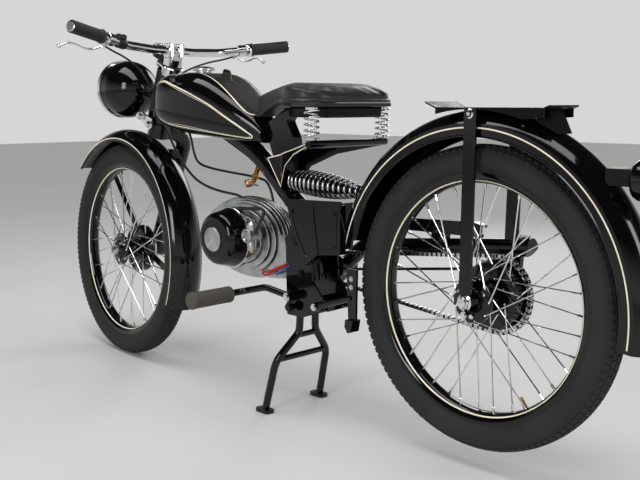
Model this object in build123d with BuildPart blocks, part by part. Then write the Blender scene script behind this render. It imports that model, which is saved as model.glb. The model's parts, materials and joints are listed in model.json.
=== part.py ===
from build123d import *
import os
from math import asin, atan2, cos, degrees, radians, sin

# A light solo motorcycle on its centre stand. X forward, Y to the left, Z up, millimetres.
# Stations are given as distances ahead of the rear axle.

# Wheels and stance
WHEELBASE = 1260
TYRE_HALF = 32
RIM_R = 250
TYRE_HEIGHT = 56
TYRE_R = RIM_R + TYRE_HEIGHT
RIM_HALF = 23
RIM_WELL_R = RIM_R - 21
RIM_WELL_HALF = 11
REAR_LIFT = 40
REAR_REACH = 376
FRONT_Z = TYRE_R
REAR_Z = TYRE_R + REAR_LIFT
REAR_X = (REAR_REACH - WHEELBASE - TYRE_R) / 2
FRONT_X = REAR_X + WHEELBASE
AXLE_R = 9
RUN_GAP = 0.08
SEAT_GAP = 0.3

# Hubs and spokes
FLANGE_R = 46
FLANGE_Y = 27
FLANGE_T = 4
BARREL_R = 24
HUB_END_Y = 40
DRUM_R = 68
DRUM_END_Y = -47
SPOKES = 36
SPOKE_R = 1.6
SPOKE_SWEEP = 58
SPOKE_SPLAY = 4.2
SPOKE_RIM_Y = 5
SPROCKET_R = 74
SPROCKET_Y = -56
SPROCKET_T = 5

# Steering
RAKE = 22
HEAD_AHEAD = 1055
HEAD_Z = 740
HEAD_LENGTH = 132
HEAD_R = 27
STEM_R = 16
STEM_LENGTH = 196
STEER_AT_REST = -6

# Frame
BACKBONE_R = 24
BACKBONE = [(1042, 736), (880, 700), (664, 604), (506, 470), (470, 318)]
BACKBONE_BENDS = [260, 300, 110]
PLATE_Y = 42
PLATE_T = 5
PLATE_BOLTS = [(492, 412), (475, 340)]
PLATE_BOLT_R = 8
STAND_AHEAD = 497
STAND_Z = 259
STAND_PIN_R = 7

# Rear arm
ARM_R = 19
ARM_Y = -92
ARM = [(462, 345), (404, 397), (-56, 444)]
ARM_BEND = 70
PIVOT_R = 22
CARRIER_T = 12
CHAIN_HALF = 5
CHAIN_T = 9
ENGINE_SPROCKET_R = 30

# Mudguards
REAR_GUARD_R = TYRE_R + 66
REAR_GUARD_SKIRT = 24
REAR_GUARD_HALF = 47
REAR_GUARD_FROM = 12
REAR_GUARD_SWEEP = 175
FRONT_GUARD_R = TYRE_R + 42
FRONT_GUARD_SKIRT = 8
FRONT_GUARD_HALF = 48
FRONT_GUARD_FROM = 43
FRONT_GUARD_SWEEP = 159
GUARD_T = 2.5

# Luggage rack and its stays
RACK_Z = 722
RACK_FRONT = 84
RACK_REAR = -160
RACK_HALF = 51
RACK_SKIRT = 27
RACK_LIP = 26
RACK_LIP_RISE = 11
RACK_T = 3
RACK_HOLE_R = 3.5
RACK_HOLE_DX = 120
RACK_HOLE_DY = 70
STAY_T = 5
STAY_Y = 54
STAY_BOLT_R = 7

# Tank and cap
TANK_TUNNEL_HALF = BACKBONE_R + SEAT_GAP
CAP_AHEAD = 884
CAP_R = 29
CAP_NECK_R = 21
CAP_NECK = 5
CAP_RIM = 5
CAP_HEIGHT = 16

# Saddle
PAN_Z = 721.7
PAN_T = 8
SPRING_X = 368
SPRING_Y = 112
SPRING_R = 17
SPRING_CORE = 9
SPRING_COILS = 6
CARRIER_HALF = 124
CARRIER_Z = 642
CARRIER_R = 8
BRACKET_T = 3

# Engine
CRANK = (712, 402)
EGG_MID = (697, 402)
EGG_LONG = 162
EGG_HIGH = 100
EGG_BLUNT = 0.12
EGG_ARCS = 6
FIN_T = 3.6
DOME_R = 74
DOME_Y = 60 + SEAT_GAP
DOME_DEPTH = 52
DISC_R = 30

# Handlebar
BAR_R = 11
BAR = [(1014, 62, 866), (1010, 141, 871), (942, 326, 899)]
BAR_BENDS = [60, 90]
GRIP_R = 16
GRIP_LENGTH = 108
CLAMP_HALF = 24

# Headlamp
LAMP_R = 80
LAMP_AHEAD = 1288
LAMP_Z = 768
LAMP_DEPTH = 112
LAMP_RIM_T = 14


def spot(ahead, y, z):
    return (REAR_X + ahead, y, z)


def side(points):
    """Points of a side view, drawn on the plane whose normal is +Y to the right of the machine."""
    return [(REAR_X + ahead, z) for ahead, z in points]


def upright(y):
    """Side-view sketch plane at a given y: local x forward, local y up, normal to the right."""
    return Plane(origin=(0, y, 0), x_dir=(1, 0, 0), z_dir=(0, -1, 0))


def rod(points, bends, radius):
    """A round bar along straight runs joined by tangent arcs."""
    with BuildPart() as made:
        with BuildLine() as path:
            if len(points) == 2:
                Line(*points)
            else:
                FilletPolyline(*points, radius=bends)
        with BuildSketch(Plane(path.line @ 0, z_dir=path.line % 0)):
            Circle(radius)
        sweep(path=path.line)
    return made.part


def prism(points, y, depth):
    """A plate with a side-view outline, from y towards the right by its depth."""
    with BuildPart() as made:
        with BuildSketch(upright(y)):
            with BuildLine():
                Polyline(*side(points), close=True)
            make_face()
        extrude(amount=depth)
    return made.part


def across(ahead, z, y_left, y_right, radius):
    """A round bar along Y."""
    with BuildPart() as made:
        with BuildSketch(upright(y_left)):
            with Locations(side([(ahead, z)])[0]):
                Circle(radius)
        extrude(amount=y_left - y_right)
    return made.part


def turned(profile, x, z):
    """A profile of (y, radius) points turned round the cross axis at x, z."""
    with BuildPart() as made:
        with BuildSketch(Plane(origin=(x, 0, z), x_dir=(0, 1, 0), z_dir=(0, 0, -1))):
            with BuildLine():
                Polyline(*profile, close=True)
            make_face()
        revolve(axis=Axis((x, 0, z), (0, 1, 0)))
    return made.part


def tyre(x, z):
    half = TYRE_HALF
    profile = [
        (-RIM_HALF + 3, RIM_R + SEAT_GAP),
        (-half, RIM_R + 0.38 * TYRE_HEIGHT),
        (-half + 6, RIM_R + 0.76 * TYRE_HEIGHT),
        (-half + 21, TYRE_R),
        (half - 21, TYRE_R),
        (half - 6, RIM_R + 0.76 * TYRE_HEIGHT),
        (half, RIM_R + 0.38 * TYRE_HEIGHT),
        (RIM_HALF - 3, RIM_R + SEAT_GAP),
    ]
    return turned(profile, x, z)


def rim(x, z):
    profile = [
        (-RIM_HALF, RIM_R),
        (-RIM_WELL_HALF, RIM_WELL_R),
        (RIM_WELL_HALF, RIM_WELL_R),
        (RIM_HALF, RIM_R),
    ]
    return turned(profile, x, z)


def spoked_hub(x, z, profile):
    """A hub with its laced spokes. Neighbouring spokes lean opposite ways and pass each other."""
    with BuildPart() as made:
        add(turned(profile, x, z))
        for number in range(SPOKES):
            flank = 1 if number % 2 else -1
            lean = 1 if (number // 2) % 2 else -1
            turn = number * 360 / SPOKES
            foot_turn = radians(turn + lean * SPOKE_SWEEP)
            tip_turn = radians(turn)
            foot_r = FLANGE_R - 5
            foot_y = flank * (FLANGE_Y + lean * SPOKE_SPLAY)
            tip_r = RIM_WELL_R - SEAT_GAP
            foot = Vector(x + foot_r * cos(foot_turn), foot_y, z + foot_r * sin(foot_turn))
            tip = Vector(x + tip_r * cos(tip_turn), flank * SPOKE_RIM_Y, z + tip_r * sin(tip_turn))
            with BuildSketch(Plane(foot, z_dir=tip - foot)):
                RegularPolygon(SPOKE_R, 6)
            extrude(amount=(tip - foot).length)
    return made.part


def guard(x, z, crown_r, skirt, half, start, sweep_angle):
    """A valanced mudguard of sheet: upright sides and a rounded crown."""
    with BuildPart() as made:
        with BuildSketch(Plane(origin=(x, 0, z), x_dir=(0, 1, 0), z_dir=(0, 0, -1))):
            with BuildLine():
                shoulder_r = crown_r - half * 0.55
                edge_r = shoulder_r - skirt
                inner = half - GUARD_T
                Line((-half, edge_r), (-half, shoulder_r))
                ThreePointArc((-half, shoulder_r), (0, crown_r), (half, shoulder_r))
                Line((half, shoulder_r), (half, edge_r))
                Line((half, edge_r), (inner, edge_r))
                Line((inner, edge_r), (inner, shoulder_r))
                ThreePointArc((inner, shoulder_r), (0, crown_r - GUARD_T), (-inner, shoulder_r))
                Line((-inner, shoulder_r), (-inner, edge_r))
                Line((-inner, edge_r), (-half, edge_r))
            make_face()
        revolve(axis=Axis((x, 0, z), (0, 1, 0)), revolution_arc=sweep_angle)
    return made.part.rotate(Axis((x, 0, z), (0, 1, 0)), -start - sweep_angle)


def coil(start, end, radii, core):
    """A coil spring as round-edged rings on a thin core, its ring radii given from end to end."""
    run = Vector(*end) - Vector(*start)
    pitch = run.length / len(radii)
    wire = 0.4 * pitch
    with BuildPart() as made:
        with BuildSketch(Plane.XZ):
            with BuildLine():
                Line((0, 0), (core, 0))
                foot = (core, 0)
                for number, radius in enumerate(radii):
                    mid = (number + 0.5) * pitch
                    Line(foot, (core, mid - wire))
                    Line((core, mid - wire), (radius - wire, mid - wire))
                    ThreePointArc((radius - wire, mid - wire), (radius, mid), (radius - wire, mid + wire))
                    Line((radius - wire, mid + wire), (core, mid + wire))
                    foot = (core, mid + wire)
                Line(foot, (core, run.length))
                Line((core, run.length), (0, run.length))
                Line((0, run.length), (0, 0))
            make_face()
        revolve(axis=Axis.Z)
    return Plane(start, z_dir=run) * made.part


# Wheels

rear_hub_profile = [
    (HUB_END_Y, AXLE_R + RUN_GAP),
    (HUB_END_Y, BARREL_R),
    (FLANGE_Y + FLANGE_T, BARREL_R),
    (FLANGE_Y + FLANGE_T, FLANGE_R),
    (FLANGE_Y - FLANGE_T, FLANGE_R),
    (FLANGE_Y - FLANGE_T, BARREL_R),
    (-FLANGE_Y + FLANGE_T, BARREL_R),
    (-FLANGE_Y + FLANGE_T, FLANGE_R),
    (-FLANGE_Y - FLANGE_T, FLANGE_R),
    (-FLANGE_Y - FLANGE_T, DRUM_R),
    (DRUM_END_Y, DRUM_R),
    (DRUM_END_Y, BARREL_R + 10),
    (SPROCKET_Y + SPROCKET_T / 2, BARREL_R + 10),
    (SPROCKET_Y + SPROCKET_T / 2, SPROCKET_R),
    (SPROCKET_Y - SPROCKET_T / 2, SPROCKET_R),
    (SPROCKET_Y - SPROCKET_T / 2, AXLE_R + RUN_GAP),
]
front_hub_profile = rear_hub_profile[:11] + [(DRUM_END_Y, AXLE_R + RUN_GAP)]

rear_tyre = tyre(REAR_X, REAR_Z)
rear_rim = rim(REAR_X, REAR_Z)
rear_hub = spoked_hub(REAR_X, REAR_Z, rear_hub_profile)
front_tyre = tyre(FRONT_X, FRONT_Z)
front_rim = rim(FRONT_X, FRONT_Z)
front_hub = spoked_hub(FRONT_X, FRONT_Z, front_hub_profile)

# Frame

STEER_DIR = Vector(-sin(radians(RAKE)), 0, cos(radians(RAKE)))
HEAD_MID = Vector(*spot(HEAD_AHEAD, 0, HEAD_Z))
STEER_AXIS = Axis(HEAD_MID, STEER_DIR)
HEAD_LOW = HEAD_MID - STEER_DIR * (HEAD_LENGTH / 2)
HEAD_TOP = HEAD_MID + STEER_DIR * (HEAD_LENGTH / 2)

with BuildPart() as frame_tube:
    add(rod([spot(ahead, 0, z) for ahead, z in BACKBONE], BACKBONE_BENDS, BACKBONE_R))
    with BuildSketch(Plane(HEAD_LOW, z_dir=STEER_DIR)):
        Circle(HEAD_R)
    extrude(amount=HEAD_LENGTH)
    with BuildSketch(Plane(HEAD_LOW - STEER_DIR, z_dir=STEER_DIR)):
        Circle(STEM_R + RUN_GAP)
    extrude(amount=HEAD_LENGTH + 2, mode=Mode.SUBTRACT)
    for ahead, z in PLATE_BOLTS:
        add(across(ahead, z, PLATE_Y, -PLATE_Y, PLATE_BOLT_R + RUN_GAP), mode=Mode.SUBTRACT)

PLATE = [(444, 452), (506, 452), (526, 410), (524, 310), (522, 236), (470, 236), (400, 260), (400, 286),
         (436, 326)]
with BuildPart() as frame_plates:
    for y in (PLATE_Y + PLATE_T / 2, -PLATE_Y + PLATE_T / 2):
        add(prism(PLATE, y, PLATE_T))
    for ahead, z in PLATE_BOLTS:
        add(across(ahead, z, PLATE_Y, -PLATE_Y, PLATE_BOLT_R))
    add(across(STAND_AHEAD, STAND_Z, PLATE_Y + 26, -PLATE_Y - 26, STAND_PIN_R))

FUNNEL = [
    # ahead, half width, bottom, top
    (560, 29, 530, 613),
    (530, 42, 580, 620),
    (470, 70, 611, 630),
    (372, CARRIER_HALF, 634, 646),
]
HINGE = [(618, 640), (618, 684), (566, 712), (536, 712), (554, 687), (532, 650), (526, 616), (600, 600)]
FRONT_GUSSET = [(556, 530), (556, 613), (606, 602)]


def flare(sections):
    """A tapering body through upright rectangles."""
    with BuildPart() as made:
        for ahead, half, bottom, top in sections:
            with BuildSketch(Plane(origin=spot(ahead, 0, (bottom + top) / 2), x_dir=(0, 1, 0),
                                   z_dir=(1, 0, 0))):
                Rectangle(2 * half, top - bottom)
        loft(ruled=True)
    return made.part


with BuildPart() as saddle_bracket:
    add(flare(FUNNEL))
    hollow = [(ahead, half - BRACKET_T, bottom - 60, top - BRACKET_T) for ahead, half, bottom, top in FUNNEL]
    rear_end = hollow[-1]
    hollow[0] = (hollow[0][0] - BRACKET_T,) + hollow[0][1:]
    hollow.append((rear_end[0] - 20,) + rear_end[1:])
    add(flare(hollow), mode=Mode.SUBTRACT)
    for y in (FUNNEL[0][1], -FUNNEL[0][1] + BRACKET_T):
        add(prism(FRONT_GUSSET, y, BRACKET_T))
    add(prism(HINGE, 14, 28))
    add(across(SPRING_X, CARRIER_Z, CARRIER_HALF, -CARRIER_HALF, CARRIER_R))
    add(rod([spot(ahead, 0, z) for ahead, z in BACKBONE], BACKBONE_BENDS, BACKBONE_R + SEAT_GAP),
        mode=Mode.SUBTRACT)

# Rear arm, chain and guard

with BuildPart() as rear_arm:
    add(rod([spot(ahead, ARM_Y, z) for ahead, z in ARM], ARM_BEND, ARM_R))
    add(across(ARM[0][0], ARM[0][1], -PLATE_Y - PLATE_T / 2 - SEAT_GAP, ARM_Y - ARM_R, PIVOT_R))
    add(across(ARM[0][0], ARM[0][1], SPROCKET_Y + SPROCKET_T / 2, SPROCKET_Y - SPROCKET_T / 2,
               ENGINE_SPROCKET_R))
    add(prism([(-34, 440), (44, 434), (26, 346), (20, 328), (0, 320), (-20, 328), (-26, 346)],
              ARM_Y + CARRIER_T / 2, CARRIER_T))
    add(prism([(-30, 400), (-80, 475), (-80, 400)], ARM_Y + 2 * ARM_R, 4 * ARM_R), mode=Mode.SUBTRACT)
    add(across(0, REAR_Z, ARM_Y + CARRIER_T / 2, ARM_Y - 16, AXLE_R), mode=Mode.SUBTRACT)

with BuildPart() as rear_axle:
    add(across(0, REAR_Z, STAY_Y + 14, ARM_Y - 24, AXLE_R))
    add(across(0, REAR_Z, STAY_Y + STAY_T / 2 + 9, STAY_Y + STAY_T / 2, 15))
    add(across(0, REAR_Z, SPROCKET_Y - SPROCKET_T / 2 - 1, ARM_Y + CARRIER_T / 2, 14))
    add(across(0, REAR_Z, ARM_Y - CARRIER_T / 2, ARM_Y - CARRIER_T / 2 - 10, 15))
    add(across(0, REAR_Z, STAY_Y - STAY_T / 2, HUB_END_Y + 1, 14))


def belt(r_rear, r_front):
    """Outline of the chain round both sprockets, in side view."""
    front_x = REAR_X + ARM[0][0]
    front_z = ARM[0][1]
    run = Vector(front_x - REAR_X, front_z - REAR_Z)
    lean = degrees(atan2(run.Y, run.X))
    taper = degrees(atan2(r_rear - r_front, run.length))
    up = radians(lean + 90 - taper)
    down = radians(lean - 90 + taper)
    rear_top = (REAR_X + r_rear * cos(up), REAR_Z + r_rear * sin(up))
    front_top = (front_x + r_front * cos(up), front_z + r_front * sin(up))
    front_low = (front_x + r_front * cos(down), front_z + r_front * sin(down))
    rear_low = (REAR_X + r_rear * cos(down), REAR_Z + r_rear * sin(down))
    nose = (front_x + r_front * cos(radians(lean)), front_z + r_front * sin(radians(lean)))
    tail = (REAR_X - r_rear * cos(radians(lean)), REAR_Z - r_rear * sin(radians(lean)))
    return rear_top, front_top, nose, front_low, rear_low, tail


def belt_face(r_rear, r_front):
    rear_top, front_top, nose, front_low, rear_low, tail = belt(r_rear, r_front)
    with BuildLine() as line:
        Line(rear_top, front_top)
        ThreePointArc(front_top, nose, front_low)
        Line(front_low, rear_low)
        ThreePointArc(rear_low, tail, rear_top)
    return line.line


with BuildPart() as chain:
    with BuildSketch(upright(SPROCKET_Y + CHAIN_HALF)):
        add(belt_face(SPROCKET_R + SEAT_GAP + CHAIN_T, ENGINE_SPROCKET_R + SEAT_GAP + CHAIN_T))
        make_face()
        with BuildSketch(mode=Mode.PRIVATE) as inner:
            add(belt_face(SPROCKET_R + SEAT_GAP, ENGINE_SPROCKET_R + SEAT_GAP))
            make_face()
        add(inner.sketch, mode=Mode.SUBTRACT)
    extrude(amount=2 * CHAIN_HALF)

GUARD_TOP = [(306, 480), (60, 489), (38, 484), (38, 478), (60, 483), (306, 474)]
GUARD_SIDE = [(306, 480), (60, 489), (38, 484), (38, 462), (306, 458)]
with BuildPart() as chain_guard:
    add(prism(GUARD_TOP, SPROCKET_Y + 8, 20))
    add(prism(GUARD_SIDE, SPROCKET_Y + 8, 3))
    add(rod([spot(306, SPROCKET_Y + 3, 458), spot(38, SPROCKET_Y + 3, 462)], 0, 4))
    add(prism([(180, 430), (150, 430), (150, 484), (180, 482)], SPROCKET_Y - 8, 28))
    add(rod([spot(ahead, ARM_Y, z) for ahead, z in ARM], ARM_BEND, ARM_R + SEAT_GAP),
        mode=Mode.SUBTRACT)

with BuildPart() as suspension_spring:
    add(coil(spot(544.6, 0, 550), spot(327, 0, 535.4),
             [18, 22, 25, 27, 29, 30, 30, 30, 29, 28, 26, 24, 21, 18, 15], 10))

with BuildPart() as brake_rod:
    add(rod([spot(438.8, -70, 340), spot(70, -70, 388), spot(28, -82.8, 393)], 20, 3.2))

# Rear mudguard, rack, lamp

rear_mudguard = guard(REAR_X, REAR_Z, REAR_GUARD_R, REAR_GUARD_SKIRT, REAR_GUARD_HALF,
                      REAR_GUARD_FROM, REAR_GUARD_SWEEP)

with BuildPart() as luggage_rack:
    with BuildSketch(Plane.XY.offset(RACK_Z - RACK_T)):
        with Locations((REAR_X + (RACK_FRONT + RACK_REAR) / 2, 0)):
            Rectangle(RACK_FRONT - RACK_REAR, 2 * RACK_HALF)
        with Locations((REAR_X - 40, 0)):
            with GridLocations(RACK_HOLE_DX, RACK_HOLE_DY, 2, 2):
                Circle(RACK_HOLE_R, mode=Mode.SUBTRACT)
    extrude(amount=RACK_T)
    for y in (RACK_HALF, -RACK_HALF + RACK_T):
        add(prism([(RACK_FRONT, RACK_Z), (RACK_REAR, RACK_Z), (RACK_REAR, RACK_Z - RACK_SKIRT + 9),
                   (-40, RACK_Z - RACK_SKIRT), (RACK_FRONT, RACK_Z - RACK_SKIRT)], y, RACK_T))
    for end, out in ((RACK_FRONT, 1), (RACK_REAR, -0.4)):
        tip = end + out * RACK_LIP
        rise = abs(out) * RACK_LIP_RISE
        add(prism([(end - out, RACK_Z), (tip, RACK_Z + rise), (tip, RACK_Z + rise - RACK_T),
                   (end - out, RACK_Z - RACK_T)], RACK_HALF, 2 * RACK_HALF))
    add(prism([(-118, RACK_Z - 1), (-152, RACK_Z - 1), (-180, 664), (-150, 664)], 24, 48))
    add(across(0, REAR_Z, 60, -60, REAR_GUARD_R + SEAT_GAP), mode=Mode.SUBTRACT)

with BuildPart() as rack_stays:
    add(prism([(-18, RACK_Z - 2), (10, RACK_Z - 2), (14, 330), (8, 318), (-8, 318), (-14, 330)],
              STAY_Y + STAY_T / 2, STAY_T))
    add(prism([(-52, RACK_Z - 2), (-22, RACK_Z - 2), (-16, 461), (-46, 461)], -STAY_Y + STAY_T / 2, STAY_T))
    add(prism([(-46, 461), (-16, 461), (-16, 466), (-46, 466)], -STAY_Y + STAY_T / 2, -ARM_Y - STAY_Y + 8))
    add(rod([spot(ahead, ARM_Y, z) for ahead, z in ARM], ARM_BEND, ARM_R + SEAT_GAP), mode=Mode.SUBTRACT)
    add(across(0, REAR_Z, STAY_Y + 10, STAY_Y - 10, AXLE_R), mode=Mode.SUBTRACT)
    add(across(-3, 710, STAY_Y + STAY_T / 2 + 5, STAY_Y + STAY_T / 2, STAY_BOLT_R))
    add(across(-3, 322, STAY_Y + STAY_T / 2 + 5, STAY_Y + STAY_T / 2, 5))

with BuildPart() as tail_lamp:
    with BuildSketch(Plane(origin=spot(-362, 0, 600), z_dir=(1, 0, 0))):
        Circle(38)
    extrude(amount=56)
    with BuildSketch(Plane(origin=spot(-310, 0, 604), z_dir=(1, 0, 0))):
        Rectangle(30, 44)
    extrude(amount=60)
    add(across(0, REAR_Z, 60, -60, REAR_GUARD_R + SEAT_GAP), mode=Mode.SUBTRACT)

# Tank, cap and tap

TANK_STATIONS = [
    # ahead, half width, bottom, top, corner
    (1004, 56, 700, 776, 34),
    (974, 92, 672, 800, 52),
    (890, 106, 654, 806, 54),
    (810, 97, 647, 798, 49),
    (740, 82, 641, 766, 44),
    (680, 60, 637, 724, 34),
    (626, 34, 634, 672, 17),
]
STAPLE = [(802, 782), (802, 812), (778, 807), (778, 776)]
with BuildPart() as fuel_tank:
    for ahead, half, bottom, top, corner in TANK_STATIONS:
        with BuildSketch(Plane(origin=spot(ahead, 0, (bottom + top) / 2), x_dir=(0, 1, 0),
                               z_dir=(1, 0, 0))):
            RectangleRounded(2 * half, top - bottom, corner)
    loft()
    add(rod([spot(ahead, 0, z) for ahead, z in STAPLE], 5, 3))
    with BuildSketch(upright(TANK_TUNNEL_HALF)):
        with BuildLine():
            Polyline(*side(BACKBONE[:4] + [(506, 420), (1042, 420)]), close=True)
        make_face()
    extrude(amount=2 * TANK_TUNNEL_HALF, mode=Mode.SUBTRACT)
    add(rod([spot(ahead, 0, z) for ahead, z in BACKBONE], BACKBONE_BENDS, TANK_TUNNEL_HALF),
        mode=Mode.SUBTRACT)

CAP_SEAT = TANK_STATIONS[2][3] + 1
with BuildPart() as fuel_cap:
    with BuildSketch(Plane(origin=spot(CAP_AHEAD, 0, CAP_SEAT), x_dir=(1, 0, 0), z_dir=(0, -1, 0))):
        with BuildLine():
            Polyline((0, CAP_HEIGHT), (0, 0), (CAP_NECK_R, 0), (CAP_NECK_R, CAP_NECK), (CAP_R, CAP_NECK),
                     (CAP_R, CAP_NECK + CAP_RIM))
            rise = CAP_HEIGHT - CAP_NECK - CAP_RIM
            dome = (CAP_R**2 + rise**2) / (2 * rise)
            turn = asin(CAP_R / dome) / 2
            ThreePointArc((CAP_R, CAP_NECK + CAP_RIM),
                          (dome * sin(turn), CAP_HEIGHT - dome * (1 - cos(turn))), (0, CAP_HEIGHT))
        make_face()
    revolve(axis=Axis(spot(CAP_AHEAD, 0, CAP_SEAT), (0, 0, 1)))

with BuildPart() as fuel_tap:
    add(rod([spot(664, 4, 580), spot(660, 26, 540)], 0, 7))
    add(rod([spot(660, 26, 540), spot(672, 44, 534)], 0, 10))
    add(rod([spot(ahead, 0, z) for ahead, z in BACKBONE], BACKBONE_BENDS, BACKBONE_R + SEAT_GAP),
        mode=Mode.SUBTRACT)

# Saddle

SADDLE_HALF = [
    # start, middle and end of each arc of the left half in plan, from the nose to the tail
    ((660, 0), (652, 24), (628, 36)),
    ((628, 36), (545, 64), (456, 116)),
    ((456, 116), (386, 142), (340, 100)),
    ((340, 100), (333, 52), (331, 0)),
]
with BuildPart() as saddle:
    with BuildSketch(Plane.XY.offset(690)):
        with BuildLine():
            for flank in (1, -1):
                for arc in SADDLE_HALF:
                    ThreePointArc(*[(REAR_X + ahead, flank * y) for ahead, y in arc])
        make_face()
    extrude(amount=90)
    with BuildSketch(upright(160)):
        with BuildLine():
            ThreePointArc(*side([(322, 756), (500, 771), (640, 750)]))
            ThreePointArc(*side([(640, 750), (656, 726), (646, 700)]))
            ThreePointArc(*side([(646, 700), (634, 694), (620, 697)]))
            ThreePointArc(*side([(620, 697), (562, 719), (490, PAN_Z + PAN_T + SEAT_GAP)]))
            Polyline(*side([(490, PAN_Z + PAN_T + SEAT_GAP), (322, PAN_Z + PAN_T + SEAT_GAP), (322, 756)]))
        make_face()
    extrude(amount=320, mode=Mode.INTERSECT)
    fillet(saddle.faces().sort_by(Axis.Z)[-1].edges(), 11)

with BuildPart() as saddle_pan:
    with BuildSketch(Plane.XY.offset(PAN_Z)):
        with BuildLine():
            Polyline(*[(REAR_X + ahead, y) for ahead, y in
                       ((486, 66), (440, 104), (350, 122), (350, -122), (440, -104), (486, -66))], close=True)
        make_face()
    extrude(amount=PAN_T)
    add(prism([(HINGE[2][0] - 2, HINGE[2][1] + SEAT_GAP), (HINGE[2][0] - 2, PAN_Z - 4), (480, PAN_Z + 2),
               (480, PAN_Z - 6), (HINGE[3][0], HINGE[3][1] + SEAT_GAP)], 12, 24))

with BuildPart() as saddle_springs:
    for y in (SPRING_Y, -SPRING_Y):
        add(coil(spot(SPRING_X, y, CARRIER_Z + CARRIER_R + SEAT_GAP), spot(SPRING_X, y, PAN_Z - SEAT_GAP),
                 [SPRING_R] * SPRING_COILS, SPRING_CORE))

# Engine

FINS = [
    # y, scale
    (54, 0.96),
    (43, 1.00),
    (32, 1.00),
    (21, 0.99),
    (10, 0.97),
    (-1, 0.94),
    (-12, 0.90),
    (-23, 0.85),
    (-34, 0.79),
    (-45, 0.72),
    (-56, 0.64),
    (-67, 0.54),
]


def egg(scale, turn):
    """A point of the barrel's side view, blunt at the rear and narrower ahead."""
    high = EGG_HIGH * sin(turn) * (1 - EGG_BLUNT * cos(turn))
    return (REAR_X + EGG_MID[0] + scale * EGG_LONG * cos(turn), EGG_MID[1] + scale * high)


def slice_of_egg(scale, y, depth):
    with BuildPart() as made:
        with BuildSketch(upright(y)):
            with BuildLine():
                for number in range(EGG_ARCS):
                    turns = [radians(360 * (number + part) / EGG_ARCS) for part in (0, 0.5, 1)]
                    ThreePointArc(*[egg(scale, turn) for turn in turns])
            make_face()
        extrude(amount=depth)
    return made.part


with BuildPart() as engine:
    for y, scale in FINS:
        add(slice_of_egg(scale, y + FIN_T / 2, FIN_T))
    add(slice_of_egg(0.82, 60, 100))
    add(slice_of_egg(0.5, -30, 48))
    add(prism([(600, 420), (534, 420), (512, 320), (600, 312)], PLATE_Y - PLATE_T / 2 - SEAT_GAP,
              2 * PLATE_Y - PLATE_T - 2 * SEAT_GAP))

with BuildPart() as magneto_cover:
    with BuildSketch(Plane(origin=spot(CRANK[0], DOME_Y, CRANK[1]), z_dir=(0, 1, 0))):
        Circle(DOME_R)
    extrude(amount=DOME_DEPTH, taper=14)
    fillet(magneto_cover.faces().sort_by(Axis.Y)[-1].edges(), 20)

with BuildPart() as cover_disc:
    add(across(CRANK[0], CRANK[1], DOME_Y + DOME_DEPTH + SEAT_GAP + 6, DOME_Y + DOME_DEPTH + SEAT_GAP,
               DISC_R))

with BuildPart() as carburettor:
    add(across(612, 418, 94, 60 + SEAT_GAP, 17))
    add(rod([spot(612, 76, 380), spot(612, 76, 456)], 0, 12))

with BuildPart() as plug_lead:
    add(rod([spot(664, 62.8, 469), spot(662, 75, 478), spot(556, 78, 486), spot(596.4, 76.3, 427.5)], [5, 9], 4))

BOX_OUTER = [(498, 504), (326, 510), (326, 402), (396, 394), (436, 366), (474, 434)]
BOX_INNER = [(438, 506), (384, 506), (384, 400), (438, 400)]
BOX_BOLTS = [(459, 438), (446, 400)]
with BuildPart() as battery_box:
    add(prism(BOX_OUTER, 68, 18))
    add(prism(BOX_INNER, 51, 86))
    for ahead, z in BOX_BOLTS:
        add(across(ahead, z, 51, PLATE_Y + PLATE_T / 2 + SEAT_GAP, 7))

# Footrests, lever, cables

with BuildPart() as footrests:
    for flank in (1, -1):
        add(rod([spot(STAND_AHEAD, flank * 60, 285), spot(560, flank * 78, 300),
                 spot(626, flank * 96, 283), spot(626, flank * 244, 281)], [40, 30], 8))
        add(across(STAND_AHEAD - 3, 285, 72 if flank > 0 else -PLATE_Y - PLATE_T / 2,
                   PLATE_Y + PLATE_T / 2 if flank > 0 else -72, 11))

with BuildPart() as footrest_rubbers:
    for flank in (1, -1):
        ends = sorted((flank * 132, flank * 250))
        add(across(626, 281.5, ends[1], ends[0], 20))
        add(rod([spot(626, flank * 96, 283), spot(626, flank * 244, 281)], 0, 8 + SEAT_GAP),
            mode=Mode.SUBTRACT)

KICK_PIVOT = (410, 273)
with BuildPart() as kick_lever:
    add(prism([(284, 374), (314, 374), (308, 258), (286, 258)], 60, 6))
    add(prism([(286, 262), (308, 262), (310, 246), (301, 233), (291, 236)], 70, 26))
    add(rod([spot(300, 57, 310), spot(KICK_PIVOT[0], 57, KICK_PIVOT[1])], 0, 7))
    add(across(KICK_PIVOT[0], KICK_PIVOT[1], 66, PLATE_Y + PLATE_T / 2 + SEAT_GAP, 10))

CABLES = [
    [(1058, 30.6, 716), (985, 33, 655), (872, 33, 598), (710, 26.5, 560), (690, 26.5, 486)],
    [(1058, -30.6, 716), (950, -33, 652), (880, -33, 580), (712, -28.5, 552), (690, -28.5, 486)],
]
with BuildPart() as control_cables:
    for points in CABLES:
        add(rod([spot(*point) for point in points], [60, 60, 40], 3.2))

# Fork

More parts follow.
